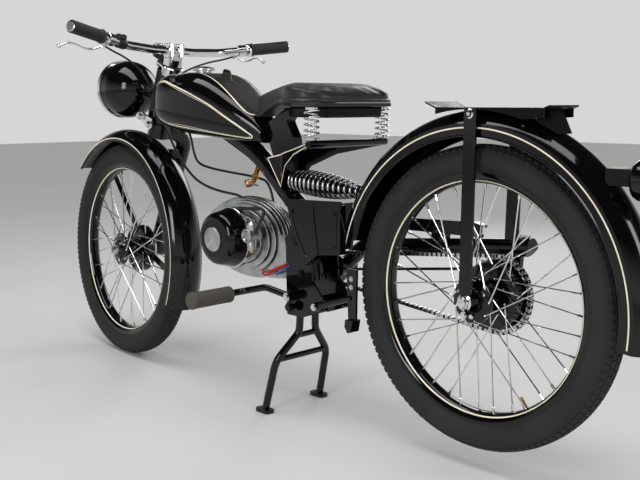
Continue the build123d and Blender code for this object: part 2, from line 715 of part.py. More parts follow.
LEG_Y = -88
LEG_R = 21
CROWN = HEAD_LOW - STEER_DIR * 26
LEG = [CROWN, Vector(*spot(1092, LEG_Y, 644)), Vector(*spot(WHEELBASE - 4, LEG_Y, FRONT_Z))]
LEG_BENDS = 52
LUG_HALF = 24
GIRDER_OFF = 52
GIRDER_R = 12
AHEAD_DIR = Vector(cos(radians(RAKE)), 0, sin(radians(RAKE)))
YOKE = HEAD_LOW - STEER_DIR * 24
GIRDER_LOW = YOKE + AHEAD_DIR * GIRDER_OFF
GIRDER_TOP = HEAD_TOP + STEER_DIR * (14 - 12 - SEAT_GAP) + AHEAD_DIR * GIRDER_OFF
LINK_Y = 30 + SEAT_GAP
with BuildPart() as fork_leg:
    with BuildSketch(Plane(HEAD_LOW - STEER_DIR * 18, z_dir=STEER_DIR)):
        Circle(STEM_R)
    extrude(amount=STEM_LENGTH)
    with BuildSketch(Plane(HEAD_LOW - STEER_DIR * 42, z_dir=STEER_DIR)):
        Circle(30)
    extrude(amount=40)
    add(rod(LEG, LEG_BENDS, LEG_R))
    add(rod([YOKE, GIRDER_LOW + AHEAD_DIR * 14], 0, 14))
    add(rod([GIRDER_LOW, GIRDER_TOP], 0, GIRDER_R))
    add(across(WHEELBASE, FRONT_Z, LEG_Y + LUG_HALF, LEG_Y - LUG_HALF, 26))
    add(across(WHEELBASE, FRONT_Z, LEG_Y + LUG_HALF + 1, LEG_Y - LUG_HALF - 1, AXLE_R + SEAT_GAP),
        mode=Mode.SUBTRACT)

with BuildPart() as front_axle:
    add(across(WHEELBASE, FRONT_Z, HUB_END_Y + 14, LEG_Y - LUG_HALF - 12, AXLE_R))
    add(across(WHEELBASE, FRONT_Z, HUB_END_Y + 10, HUB_END_Y + 1, 16))
    add(across(WHEELBASE, FRONT_Z, DRUM_END_Y - 2, DRUM_END_Y - 7, DRUM_R - 2))
    add(across(WHEELBASE, FRONT_Z, DRUM_END_Y - 7, LEG_Y + LUG_HALF + SEAT_GAP, 14))
    add(across(WHEELBASE, FRONT_Z, LEG_Y - LUG_HALF - SEAT_GAP, LEG_Y - LUG_HALF - 9, 16))

front_mudguard = guard(FRONT_X, FRONT_Z, FRONT_GUARD_R, FRONT_GUARD_SKIRT, FRONT_GUARD_HALF,
                       FRONT_GUARD_FROM, FRONT_GUARD_SWEEP)

with BuildPart() as guard_stays:
    outer = -FRONT_GUARD_HALF - SEAT_GAP
    for tip in ((WHEELBASE + 225, FRONT_Z + 235), (WHEELBASE - 300, FRONT_Z - 115)):
        with BuildSketch(upright(outer)):
            with BuildLine():
                hub_spot = (WHEELBASE, FRONT_Z)
                run = Vector(tip[0] - hub_spot[0], tip[1] - hub_spot[1])
                off = Vector(-run.Y, run.X).normalized() * 9
                foot = Vector(*hub_spot) + run.normalized() * (DRUM_R - 2 + SEAT_GAP)
                corners = [foot + off, Vector(*tip) + off, Vector(*tip) - off, foot - off]
                Polyline(*side([(point.X, point.Y) for point in corners]), close=True)
            make_face()
        extrude(amount=4)
    with BuildSketch(upright(outer)):
        with Locations(side([(1120, 590)])[0]):
            Rectangle(34, 26)
    extrude(amount=30)
    add(rod(LEG, LEG_BENDS, LEG_R + SEAT_GAP), mode=Mode.SUBTRACT)

with BuildPart() as fork_links:
    for flank in (1, -1):
        add(prism([(1066, 664), (1066, 684), (1128, 704), (1136, 686), (1080, 656)],
                  LINK_Y + 6 if flank > 0 else -LINK_Y, 6))
        for ahead, z in ((1078, 671), (1124, 692)):
            near, far = sorted((flank * (LINK_Y + 5), flank * (LINK_Y + 14)))
            add(across(ahead, z, far, near, 8))
    add(rod(LEG, LEG_BENDS, LEG_R + SEAT_GAP), mode=Mode.SUBTRACT)

with BuildPart() as headlamp:
    with BuildSketch(Plane(origin=spot(LAMP_AHEAD, 0, LAMP_Z), x_dir=(0, 0, 1), z_dir=(0, -1, 0))):
        with BuildLine():
            Line((0, 0), (LAMP_R, 0))
            Line((LAMP_R, 0), (LAMP_R, 30))
            ThreePointArc((LAMP_R, 30), (LAMP_R * 0.68, 86), (0, LAMP_DEPTH))
            Line((0, LAMP_DEPTH), (0, 0))
        make_face()
    revolve(axis=Axis(spot(LAMP_AHEAD, 0, LAMP_Z), (1, 0, 0)))
    add(rod([spot(LAMP_AHEAD - 60, 0, LAMP_Z), spot(1107, 0, 748)], 0, 10))
    add(rod([GIRDER_LOW - STEER_DIR * 30, GIRDER_TOP + STEER_DIR * 30], 0, GIRDER_R + SEAT_GAP),
        mode=Mode.SUBTRACT)

with BuildPart() as headlamp_rim:
    with BuildSketch(Plane(origin=spot(LAMP_AHEAD + SEAT_GAP, 0, LAMP_Z), z_dir=(1, 0, 0))):
        Circle(LAMP_R + 3)
        Circle(LAMP_R - 6, mode=Mode.SUBTRACT)
    extrude(amount=LAMP_RIM_T)

with BuildPart() as headlamp_lens:
    with BuildSketch(Plane(origin=spot(LAMP_AHEAD + SEAT_GAP, 0, LAMP_Z), z_dir=(1, 0, 0))):
        Circle(LAMP_R - 6 - SEAT_GAP)
    extrude(amount=LAMP_RIM_T + 4)
    chamfer(headlamp_lens.faces().sort_by(Axis.X)[-1].edges(), 5)


def mirrored(points):
    return [(ahead, -y, z) for ahead, y, z in points]


with BuildPart() as handlebar:
    half_bends = BAR_BENDS
    bar_points = [spot(*point) for point in list(reversed(mirrored(BAR))) + BAR]
    add(rod(bar_points, list(reversed(half_bends)) + half_bends, BAR_R))

BAR_RUN = (Vector(*spot(*BAR[-1])) - Vector(*spot(*BAR[-2]))).normalized()
with BuildPart() as grips:
    for flank in (1, -1):
        run = Vector(BAR_RUN.X, flank * BAR_RUN.Y, BAR_RUN.Z)
        end = Vector(*spot(BAR[-1][0], flank * BAR[-1][1], BAR[-1][2]))
        with BuildSketch(Plane(end - run * GRIP_LENGTH, z_dir=run)):
            Circle(GRIP_R)
            Circle(BAR_R + SEAT_GAP, mode=Mode.SUBTRACT)
        extrude(amount=GRIP_LENGTH)

with BuildPart() as levers:
    for flank in (1, -1):
        run = Vector(BAR_RUN.X, flank * BAR_RUN.Y, BAR_RUN.Z)
        end = Vector(*spot(BAR[-1][0], flank * BAR[-1][1], BAR[-1][2]))
        seat = end - run * 134
        with BuildSketch(Plane(seat - run * 12, z_dir=run)):
            Circle(GRIP_R)
            Circle(BAR_R + SEAT_GAP, mode=Mode.SUBTRACT)
        extrude(amount=22)
        pivot = seat + Vector(34, 0, -14)
        tip = Vector(*spot(1040, flank * 312, 858))
        add(rod([seat + Vector(17, 0, -7), pivot, tip], 8, 6))

CLAMP = [(1004, 820), (1042, 820), (1035, 872), (1026, 885), (1004, 887), (994, 878), (993, 856)]
with BuildPart() as bar_clamp:
    with BuildSketch(Plane(HEAD_TOP + STEER_DIR * 2, z_dir=STEER_DIR)):
        Circle(28)
        Circle(STEM_R, mode=Mode.SUBTRACT)
    extrude(amount=24)
    add(prism(CLAMP, CLAMP_HALF, 2 * CLAMP_HALF))
    add(rod([HEAD_TOP + STEER_DIR * 14, HEAD_TOP + STEER_DIR * 14 + AHEAD_DIR * (GIRDER_OFF + 14)], 0, 12))
    add(rod(bar_points, list(reversed(half_bends)) + half_bends, BAR_R), mode=Mode.SUBTRACT)
    with BuildSketch(Plane(HEAD_TOP, z_dir=STEER_DIR)):
        Circle(STEM_R + SEAT_GAP)
    extrude(amount=48, mode=Mode.SUBTRACT)

with BuildPart() as speedometer:
    with BuildSketch(Plane(HEAD_TOP + STEER_DIR * (26 + SEAT_GAP) + AHEAD_DIR * 62, z_dir=STEER_DIR)):
        Circle(30)
    extrude(amount=34)

# Centre stand

with BuildPart() as centre_stand:
    add(across(STAND_AHEAD, STAND_Z, 36, -36, 12))
    for flank in (1, -1):
        add(rod([spot(STAND_AHEAD, flank * 24, STAND_Z), spot(500, flank * 26, 194),
                 spot(520, flank * 84, 128), spot(550, flank * 90, 9)], [30, 60], 9))
        with BuildSketch(Plane.XY):
            with Locations((REAR_X + 553, flank * 90)):
                RectangleRounded(46, 26, 8)
        extrude(amount=8)
    for ahead, z, reach in ((502, 186, 34), (518, 132, 78)):
        add(across(ahead, z, reach, -reach, 7))
    add(across(STAND_AHEAD, STAND_Z, 40, -40, STAND_PIN_R + RUN_GAP), mode=Mode.SUBTRACT)

FIXED = {
    "frame_tube": frame_tube.part,
    "frame_plates": frame_plates.part,
    "saddle_bracket": saddle_bracket.part,
    "rear_arm": rear_arm.part,
    "rear_axle": rear_axle.part,
    "chain": chain.part,
    "chain_guard": chain_guard.part,
    "suspension_spring": suspension_spring.part,
    "brake_rod": brake_rod.part,
    "rear_mudguard": rear_mudguard,
    "luggage_rack": luggage_rack.part,
    "rack_stays": rack_stays.part,
    "tail_lamp": tail_lamp.part,
    "fuel_tank": fuel_tank.part,
    "fuel_cap": fuel_cap.part,
    "fuel_tap": fuel_tap.part,
    "saddle": saddle.part,
    "saddle_pan": saddle_pan.part,
    "saddle_springs": saddle_springs.part,
    "engine": engine.part,
    "magneto_cover": magneto_cover.part,
    "cover_disc": cover_disc.part,
    "carburettor": carburettor.part,
    "plug_lead": plug_lead.part,
    "battery_box": battery_box.part,
    "footrests": footrests.part,
    "footrest_rubbers": footrest_rubbers.part,
    "kick_lever": kick_lever.part,
    "control_cables": control_cables.part,
    "rear_tyre": rear_tyre,
    "rear_rim": rear_rim,
    "rear_hub": rear_hub,
    "centre_stand": centre_stand.part,
}
STEERED = {
    "fork_leg": fork_leg.part,
    "front_axle": front_axle.part,
    "front_mudguard": front_mudguard,
    "guard_stays": guard_stays.part,
    "fork_links": fork_links.part,
    "headlamp": headlamp.part,
    "headlamp_rim": headlamp_rim.part,
    "headlamp_lens": headlamp_lens.part,
    "handlebar": handlebar.part,
    "grips": grips.part,
    "levers": levers.part,
    "bar_clamp": bar_clamp.part,
    "speedometer": speedometer.part,
    "front_tyre": front_tyre,
    "front_rim": front_rim,
    "front_hub": front_hub,
}

os.makedirs("parts", exist_ok=True)
for label, piece in STEERED.items():
    FIXED[label] = piece.rotate(STEER_AXIS, STEER_AT_REST)
for label, piece in FIXED.items():
    piece.label = label
    export_step(piece, f"parts/{label}.step")
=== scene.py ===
import json
from cmath import phase, rect
from math import asin, atan2, ceil, copysign, cos, pi, radians, sin, sqrt, tan

import bmesh
import bpy
from mathutils import Matrix, Vector
from mathutils.bvhtree import BVHTree


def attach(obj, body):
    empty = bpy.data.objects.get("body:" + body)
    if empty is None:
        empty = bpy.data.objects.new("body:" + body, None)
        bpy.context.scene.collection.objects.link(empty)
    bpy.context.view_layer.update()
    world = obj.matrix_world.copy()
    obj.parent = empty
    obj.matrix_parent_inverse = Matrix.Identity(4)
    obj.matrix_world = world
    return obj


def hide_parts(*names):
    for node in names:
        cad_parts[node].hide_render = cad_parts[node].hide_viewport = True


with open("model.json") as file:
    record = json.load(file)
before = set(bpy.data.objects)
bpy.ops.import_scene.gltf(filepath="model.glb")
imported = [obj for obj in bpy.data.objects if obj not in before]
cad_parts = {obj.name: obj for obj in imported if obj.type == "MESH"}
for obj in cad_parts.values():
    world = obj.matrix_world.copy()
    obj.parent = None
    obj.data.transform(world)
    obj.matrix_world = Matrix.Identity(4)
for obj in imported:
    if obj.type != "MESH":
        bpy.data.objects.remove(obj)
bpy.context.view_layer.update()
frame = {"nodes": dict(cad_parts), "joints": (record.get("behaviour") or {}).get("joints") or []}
scene = bpy.context.scene

# Places and sizes in millimetres unless a name ends in _M. X forward, Y left, Z up.
MM = 0.001
STEER_AT_REST = -6

joints = {joint["name"]: joint for joint in frame["joints"]}
steer_point = Vector(joints["steering"]["pos_m"])
steer_axis = Vector(joints["steering"]["axis"])
STEERED = (
    Matrix.Translation(steer_point)
    @ Matrix.Rotation(radians(STEER_AT_REST), 4, steer_axis)
    @ Matrix.Translation(-steer_point)
)
STRAIGHT = Matrix.Identity(4)
REAR_HUB = Vector(joints["rear_wheel_spin"]["pos_m"])
FRONT_HUB = STEERED.inverted() @ Vector(joints["front_wheel_spin"]["pos_m"])
REAR_Z = REAR_HUB.z / MM
FRONT_Z = FRONT_HUB.z / MM
WHEELBASE = (FRONT_HUB.x - REAR_HUB.x) / MM
CROSSWISE = Vector((0, 1, 0))
AHEAD = Vector((1, 0, 0))
UP = Vector((0, 0, 1))
WELD_M = 0.000005
SLIVER_M = 0.000001
CREASE = 35


def spot(ahead, y, z):
    """A point given in millimetres ahead of the rear axle, to the left and above the floor."""
    return Vector((REAR_HUB.x + ahead * MM, y * MM, z * MM))


# Forms: each returns its points and faces

def skinned(rows, around=True, closed=False, capped=False):
    """A skin over rows of points.

    Around joins the two ends of each row, closed joins the last row to the first, and capped fills
    the first and the last row.
    """
    count = len(rows[0])
    points = [point for row in rows for point in row]
    faces = []
    for row in range(len(rows) if closed else len(rows) - 1):
        here = row * count
        there = (row + 1) % len(rows) * count
        for number in range(count if around else count - 1):
            following = (number + 1) % count
            faces.append((here + number, here + following, there + following, there + number))
    if capped:
        faces += [tuple(range(count)), tuple(range(len(points) - count, len(points)))]
    return points, faces


def headings(path, looped):
    """The way a path runs at each of its points."""
    total = len(path)
    ways = []
    for number, here in enumerate(path):
        back = path[number - 1] if number or looped else here
        ahead = path[(number + 1) % total] if number < total - 1 or looped else here
        ways.append((ahead - back).normalized())
    return ways


def lathe(profile, centre, axis, steps=72, looped=False):
    """A profile of (along, radius) points turned round an axis. A looped profile closes on itself."""
    axis = axis.normalized()
    across = axis.orthogonal().normalized()
    upward = axis.cross(across)
    rows = []
    for step in range(steps):
        turn = 2 * pi * step / steps
        arm = across * cos(turn) + upward * sin(turn)
        rows.append([centre + axis * (along * MM) + arm * (radius * MM) for along, radius in profile])
    return skinned(rows, around=looped, closed=True)


def tube(path, radius, sides=12, looped=False, flat=1.0, flat_dir=None):
    """A bar along points. The radius may be one number or one for each point.

    A flat bar is thinned by its flat share, along flat_dir where that is given.
    """
    radii = radius if isinstance(radius, list) else [radius] * len(path)
    turns = [2 * pi * step / sides for step in range(sides)]
    rows = []
    side = None
    for here, along, reach in zip(path, headings(path, looped), radii):
        if flat_dir is not None:
            side = flat_dir
        elif side is None:
            side = along.orthogonal()
        side = (side - along * side.dot(along)).normalized()
        other = along.cross(side)
        arms = [side * (cos(turn) * flat) + other * sin(turn) for turn in turns]
        rows.append([here + arm * (reach * MM) for arm in arms])
    return skinned(rows, closed=looped, capped=not looped)


def slab(outline, lift, bevel=0.8):
    """A plate: an outline of points, thickened by the lift vector, with its edges eased."""
    middle = sum(outline, Vector()) / len(outline)
    ease = lift.normalized() * (bevel * MM)
    inset = [point + (middle - point).normalized() * (bevel * MM) for point in outline]
    rows = [
        inset,
        [point + ease for point in outline],
        [point + lift - ease for point in outline],
        [point + lift for point in inset],
    ]
    return skinned(rows, capped=True)


def band(points, normals, width, proud, looped=False):
    """A thin painted line that lies on a surface, a little proud of it."""
    rows = []
    for here, along, normal in zip(points, headings(points, looped), normals):
        middle = here + normal * (proud * MM)
        side = along.cross(normal).normalized() * (width * MM / 2)
        rows.append([middle - side, middle + side])
    return skinned(rows, around=False, closed=looped)


def rounded(points, bend, steps=8):
    """A path of straight runs whose corners are arcs of one radius."""
    path = [points[0]]
    for corner, back, ahead in zip(points[1:-1], points, points[2:]):
        into = (corner - back).normalized()
        away = (ahead - corner).normalized()
        turn = into.angle(away)
        hub = corner + (away - into).normalized() * (bend * MM / cos(turn / 2))
        first = corner - into * (bend * MM * tan(turn / 2)) - hub
        axis = into.cross(away).normalized()
        path += [hub + Matrix.Rotation(turn * step / steps, 3, axis) @ first for step in range(steps + 1)]
    path.append(points[-1])
    return path


def six_sided(centre, axis, across_flats, height, crown=1.2):
    """A hexagon nut or bolt head with its corners turned off."""
    axis = axis.normalized()
    side = axis.orthogonal().normalized()
    other = axis.cross(side)
    corner_r = across_flats / sqrt(3)
    arms = [side * cos(pi / 3 * step) + other * sin(pi / 3 * step) for step in range(6)]
    profile = [(0.0, corner_r), (height - crown, corner_r), (height, corner_r - crown)]
    rows = [[centre + axis * (along * MM) + arm * (reach * MM) for arm in arms] for along, reach in profile]
    return skinned(rows, capped=True)


class Shape:
    """Forms gathered into one piece, each with its own finish."""

    def __init__(self):
        self.points = []
        self.faces = []
        self.marks = []

    def add(self, form, finish):
        points, faces = form
        base = len(self.points)
        self.points += points
        self.faces += [tuple(base + index for index in face) for face in faces]
        self.marks += [finish] * len(faces)
        return self

    def mesh(self, place=STRAIGHT, crease=CREASE, sheet=False):
        """One mesh, welded and facing outwards. A sheet keeps the way that it was laid."""
        finishes = list(dict.fromkeys(self.marks))
        made = bpy.data.meshes.new("shape")
        made.from_pydata([place @ point for point in self.points], [], self.faces)
        for finish in finishes:
            made.materials.append(finish)
        made.polygons.foreach_set("material_index", [finishes.index(mark) for mark in self.marks])
        work = bmesh.new()
        work.from_mesh(made)
        bmesh.ops.remove_doubles(work, verts=work.verts, dist=WELD_M)
        bmesh.ops.dissolve_degenerate(work, edges=work.edges, dist=SLIVER_M)
        if not sheet:
            bmesh.ops.recalc_face_normals(work, faces=work.faces)
        work.to_mesh(made)
        work.free()
        made.shade_smooth()
        made.set_sharp_from_angle(angle=radians(crease))
        return made


def linked(name, data):
    """An object in the scene."""
    made = bpy.data.objects.new(name, data)
    scene.collection.objects.link(made)
    return made


def settled(holder):
    """The final mesh of an object, which is then removed."""
    mesh = bpy.data.meshes.new_from_object(holder.evaluated_get(bpy.context.evaluated_depsgraph_get()))
    bpy.data.objects.remove(holder)
    return mesh


def piece(name, form, body, slot, *stands_for, **making):
    """A finished piece that rides on a body, and may stand for nodes of the frame.

    The form is a mesh, or a shape with the way that its mesh is made.
    """
    mesh = form.mesh(**making) if isinstance(form, Shape) else form
    mesh.name = name
    made = linked(name, mesh)
    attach(made, body)
    if stands_for:
        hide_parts(*stands_for)
    return made


# Materials

# The part of a noise pattern's range that most of its values fall in
NOISE_SPAN = (0.3, 0.7)


def linear(code):
    """An sRGB hex value as linear red, green, blue and one for full cover."""
    parts = [int(code[start:start + 2], 16) / 255 for start in (1, 3, 5)]
    return [part / 12.92 if part <= 0.04045 else ((part + 0.055) / 1.055) ** 2.4 for part in parts] + [1]


def node(tree, kind, inputs=None, **settings):
    """Adds one node, with its settings, its values and its links. A node gives its first output."""
    made = tree.nodes.new(kind)
    for key, value in settings.items():
        setattr(made, key, value)
    for key, value in (inputs or {}).items():
        if isinstance(value, bpy.types.Node):
            value = value.outputs[0]
        if isinstance(value, bpy.types.NodeSocket):
            tree.links.new(value, made.inputs[key])
        else:
            made.inputs[key].default_value = value
    return made


def surface(name, code, **sockets):
    """A material with its shader's constants set, and the object's own coordinates to pattern it."""
    made = bpy.data.materials.new(name)
    made.use_nodes = True
    tree = made.node_tree
    shader = tree.nodes["Principled BSDF"]
    shader.inputs["Base Color"].default_value = linear(code)
    for key, value in sockets.items():
        shader.inputs[key.replace("_", " ")].default_value = value
    coords = node(tree, "ShaderNodeTexCoord").outputs["Object"]
    return made, tree, shader, coords


def per_m(size):
    """How many features of a size in millimetres there are in a metre, for a texture's scale."""
    return 1 / (size * MM)


def roughen(tree, shader, height, depth):
    """Links a height pattern to the shader's normal, its depth in millimetres."""
    bump = node(tree, "ShaderNodeBump", {"Height": height, "Distance": depth * MM, "Strength": 1.0})
    tree.links.new(bump.outputs["Normal"], shader.inputs["Normal"])


def spread(tree, shader, socket, pattern, low, high):
    """Links a pattern to a shader's value, spread between two limits."""
    ranged = node(tree, "ShaderNodeMapRange",
                  {"Value": pattern, "From Min": NOISE_SPAN[0], "From Max": NOISE_SPAN[1],
                   "To Min": low, "To Max": high})
    tree.links.new(ranged.outputs["Result"], shader.inputs[socket])


def shade(tree, shader, pattern, code_low, code_high):
    """Links a pattern to the base colour, between two colours."""
    ramp = node(tree, "ShaderNodeValToRGB", {"Fac": pattern})
    for stop, position, code in zip(ramp.color_ramp.elements, NOISE_SPAN, (code_low, code_high)):
        stop.position = position
        stop.color = linear(code)
    tree.links.new(ramp.outputs["Color"], shader.inputs["Base Color"])


def stove_enamel():
    """Stoved gloss enamel on steel: deep black, faint orange peel, a little polishing haze."""
    made, tree, shader, coords = surface("Gloss_black_stove_enamel", "#060607", Roughness=0.1, IOR=1.46)
    peel = node(tree, "ShaderNodeTexNoise", {"Vector": coords, "Scale": per_m(4), "Detail": 2.0})
    roughen(tree, shader, peel, 0.012)
    haze = node(tree, "ShaderNodeTexNoise", {"Vector": coords, "Scale": per_m(60), "Detail": 4.0})
    spread(tree, shader, "Roughness", haze, 0.05, 0.13)
    return made


def line_paint():
    """Coach lining enamel, brushed on by hand: warm cream, slightly uneven."""
    made, tree, shader, coords = surface("Cream_lining_enamel", "#F0E9D4", Roughness=0.3, IOR=1.5)
    strokes = node(tree, "ShaderNodeTexNoise", {"Vector": coords, "Scale": per_m(25), "Detail": 3.0})
    shade(tree, shader, strokes, "#E4DABC", "#F6F0DF")
    return made


def chrome_plate():
    """Polished chrome on steel: a bright mirror with faint waves and light wipe marks."""
    made, tree, shader, coords = surface("Polished_chrome_plate", "#E2E4E6", Metallic=1.0, Roughness=0.08)
    wipe = node(tree, "ShaderNodeTexNoise", {"Vector": coords, "Scale": per_m(18), "Detail": 5.0})
    spread(tree, shader, "Roughness", wipe, 0.04, 0.16)
    return made


def bright_steel():
    """Bare turned steel, zinc bright: a soft mirror with fine tool marks."""
    made, tree, shader, coords = surface("Zinc_bright_steel", "#D0D2D4", Metallic=1.0, Roughness=0.25)
    marks = node(tree, "ShaderNodeTexNoise", {"Vector": coords, "Scale": per_m(3), "Detail": 4.0})
    spread(tree, shader, "Roughness", marks, 0.18, 0.36)
    roughen(tree, shader, marks, 0.01)
    return made


def cast_alloy():
    """Sand-cast aluminium, brushed over: grey, with a fine open grain that catches the light."""
    made, tree, shader, coords = surface("Sand_cast_aluminium", "#C2C4C5", Metallic=1.0, Roughness=0.38)
    grain = node(tree, "ShaderNodeTexNoise", {"Vector": coords, "Scale": per_m(1.6), "Detail": 6.0})
    roughen(tree, shader, grain, 0.05)
    stain = node(tree, "ShaderNodeTexNoise", {"Vector": coords, "Scale": per_m(35), "Detail": 5.0})
    shade(tree, shader, stain, "#A6A8A9", "#D2D4D5")
    spread(tree, shader, "Roughness", stain, 0.24, 0.4)
    return made


def tyre_rubber():
    """Vulcanised carbon-black rubber: matt charcoal, greyer where it is dusty."""
    made, tree, shader, coords = surface("Vulcanised_tyre_rubber", "#1D1D1E", Roughness=0.7, IOR=1.52,
                                         Specular_IOR_Level=0.35)
    grain = node(tree, "ShaderNodeTexNoise", {"Vector": coords, "Scale": per_m(1.2), "Detail": 4.0})
    roughen(tree, shader, grain, 0.06)
    dust = node(tree, "ShaderNodeTexNoise", {"Vector": coords, "Scale": per_m(70), "Detail": 6.0})
    shade(tree, shader, dust, "#19191A", "#2A2A2A")
    spread(tree, shader, "Roughness", dust, 0.6, 0.85)
    return made


def moulded_rubber():
    """Moulded hard rubber of grips and footrests: black-brown, half matt, rubbed smooth in places."""
    made, tree, shader, coords = surface("Moulded_hard_rubber", "#1A1918", Roughness=0.55, IOR=1.52)
    rub = node(tree, "ShaderNodeTexNoise", {"Vector": coords, "Scale": per_m(22), "Detail": 5.0})
    shade(tree, shader, rub, "#151414", "#252322")
    spread(tree, shader, "Roughness", rub, 0.42, 0.7)
    grain = node(tree, "ShaderNodeTexNoise", {"Vector": coords, "Scale": per_m(0.9), "Detail": 3.0})
    roughen(tree, shader, grain, 0.05)
    return made


def saddle_hide():
    """Dressed black hide: a pebbled grain of about a millimetre, waxed to a low sheen."""
    made, tree, shader, coords = surface("Dressed_black_hide", "#131213", Roughness=0.42, IOR=1.5,
                                         Sheen_Weight=0.08, Sheen_Roughness=0.4)
    pebble = node(tree, "ShaderNodeTexVoronoi", {"Vector": coords, "Scale": per_m(1.7)},
                  feature="SMOOTH_F1")
    roughen(tree, shader, pebble, 0.12)
    wear = node(tree, "ShaderNodeTexNoise", {"Vector": coords, "Scale": per_m(45), "Detail": 5.0})
    shade(tree, shader, wear, "#0F0E0F", "#1D1B1C")
    spread(tree, shader, "Roughness", wear, 0.34, 0.55)
    return made


def lamp_glass():
    """Pressed clear glass, fluted on its inner face to spread the beam."""
    made, tree, shader, coords = surface("Pressed_lamp_glass", "#F1F5F5", Roughness=0.05, IOR=1.5,
                                         Transmission_Weight=0.9)
    flutes = node(tree, "ShaderNodeTexWave", {"Vector": coords, "Scale": per_m(60), "Distortion": 0.0},
                  bands_direction="Y")
    roughen(tree, shader, flutes, 0.5)
    return made


def plain_gloss(name, code, low, high, size, **sockets):
    """A small painted, plated or moulded piece with a soft unevenness of the given size."""
    made, tree, shader, coords = surface(name, code, **sockets)
    uneven = node(tree, "ShaderNodeTexNoise", {"Vector": coords, "Scale": per_m(size), "Detail": 4.0})
    spread(tree, shader, "Roughness", uneven, low, high)
    return made


ENAMEL = stove_enamel()
LINING = line_paint()
CHROME = chrome_plate()
STEEL = bright_steel()
ALLOY = cast_alloy()
TYRE = tyre_rubber()
RUBBER = moulded_rubber()
HIDE = saddle_hide()
GLASS = lamp_glass()
SPRING = plain_gloss("Blued_spring_steel", "#26272A", 0.14, 0.26, 8, Metallic=0.7, IOR=1.5)
CABLE = plain_gloss("Black_cable_cover", "#141415", 0.38, 0.55, 6, IOR=1.5)
BRIGHT_SPRING = plain_gloss("Polished_spring_steel", "#C9CBCD", 0.12, 0.24, 8, Metallic=1.0)
# A greyer satin black for the top of the tank: a painted reflection of the grey room
TANK_TOP_REFLECTION_GREY = plain_gloss("Satin_black_enamel", "#23221F", 0.42, 0.55, 12, IOR=1.46)
WORN_RUBBER = plain_gloss("Worn_grey_rubber", "#4C4842", 0.6, 0.8, 9, IOR=1.5)
JAPAN = plain_gloss("Black_japan_varnish", "#070707", 0.3, 0.45, 30, Specular_IOR_Level=0.15)
# Darker cast aluminium for the core between the engine's fins: painted shade
SHADED_CORE_ALLOY = plain_gloss("Sooty_cast_aluminium", "#5E6061", 0.5, 0.7, 14, Metallic=1.0)
COPPER = plain_gloss("Brushed_copper", "#B98A72", 0.3, 0.45, 5, Metallic=1.0)
BRASS = plain_gloss("Turned_brass", "#C49A4A", 0.22, 0.4, 5, Metallic=1.0)
RED_GLASS = plain_gloss("Red_pressed_glass", "#7A0E0C", 0.08, 0.16, 10, IOR=1.5, Coat_Weight=0.6)
DIAL = plain_gloss("Printed_dial_black", "#161616", 0.45, 0.6, 10, IOR=1.5)
WHITE = plain_gloss("Dial_white_ink", "#E8E6DE", 0.5, 0.65, 10, IOR=1.5)
RED_WIRE = plain_gloss("Red_wire_cover", "#B3141A", 0.35, 0.5, 6, IOR=1.5)
BLUE_WIRE = plain_gloss("Blue_wire_cover", "#1F4E8C", 0.35, 0.5, 6, IOR=1.5)

FINISHES = {
    "black_enamel": ENAMEL,
    "chrome_plate": CHROME,
    "bright_steel": STEEL,
    "cast_alloy": ALLOY,
    "tyre_rubber": TYRE,
    "black_rubber": RUBBER,
    "black_leather": HIDE,
    "lamp_glass": GLASS,
    "spring_steel": SPRING,
    "cable_cover": CABLE,
}
for name, solid in frame["nodes"].items():
    for holder in solid.material_slots:
        plain = holder.material.name.split(".")[0]
        holder.material = JAPAN if name == "luggage_rack" else FINISHES[plain]


# Geometry Nodes trees

# Sizes as shares of another size
WASHER_TO_HEAD = 1.28
PLATE_TO_PITCH = 1.45
ROLLER_TO_HALF = 2.5


def geometry_tree(name, wanted, seeded=False):
    """A tree with one geometry out and named inputs, given as (name, kind, value).

    A seeded tree also takes the points that its copies are set on.
    """
    tree = bpy.data.node_groups.new(name, "GeometryNodeTree")
    tree.interface.new_socket("Geometry", in_out="OUTPUT", socket_type="NodeSocketGeometry")
    if seeded:
        tree.interface.new_socket("Seeds", in_out="INPUT", socket_type="NodeSocketGeometry")
    for label, kind, value in wanted:
        socket = tree.interface.new_socket(label, in_out="INPUT", socket_type="NodeSocket" + kind)
        if value is not None:
            socket.default_value = value
    entry = tree.nodes.new("NodeGroupInput").outputs
    return tree, entry


def close_tree(tree, geometry, finish):
    """Ends a tree: real faces, smooth, with their material."""
    solid = node(tree, "GeometryNodeRealizeInstances", {"Geometry": geometry})
    smooth = node(tree, "GeometryNodeSetShadeSmooth", {"Geometry": solid})
    dressed = node(tree, "GeometryNodeSetMaterial", {"Geometry": smooth, "Material": finish})
    node(tree, "NodeGroupOutput", {"Geometry": dressed})


def grown(tree, place=STRAIGHT, seeds=(), **values):
    """Runs a tree with its inputs set by name, and gives its result as a plain mesh.

    Seeds are points and the ways they face.
    """
    ground = bpy.data.meshes.new("seeds")
    ground.from_pydata([point for point, _ in seeds], [], [])
    facing = ground.attributes.new("facing", "FLOAT_VECTOR", "POINT")
    for number, (_, way) in enumerate(seeds):
        facing.data[number].vector = way
    holder = linked("holder", ground)
    growth = holder.modifiers.new("growth", "NODES")
    growth.node_group = tree
    known = {item.name.replace(" ", "_").lower(): item.identifier
             for item in tree.interface.items_tree if item.in_out == "INPUT"}
    for key, value in values.items():
        growth[known[key]] = value
    made = settled(holder)
    made.transform(place)
    made.set_sharp_from_angle(angle=radians(CREASE))
    return made


def joined(meshes):
    """Several meshes made one, with their materials kept."""
    work = bmesh.new()
    finishes = []
    for mesh in meshes:
        before = len(work.faces)
        work.from_mesh(mesh)
        work.faces.ensure_lookup_table()
        for face in work.faces[before:]:
            finish = mesh.materials[face.material_index]
            if finish not in finishes:
                finishes.append(finish)
            face.material_index = finishes.index(finish)
    made = bpy.data.meshes.new("joined")
    work.to_mesh(made)
    work.free()
    for finish in finishes:
        made.materials.append(finish)
    made.set_sharp_from_angle(angle=radians(CREASE))
    return made


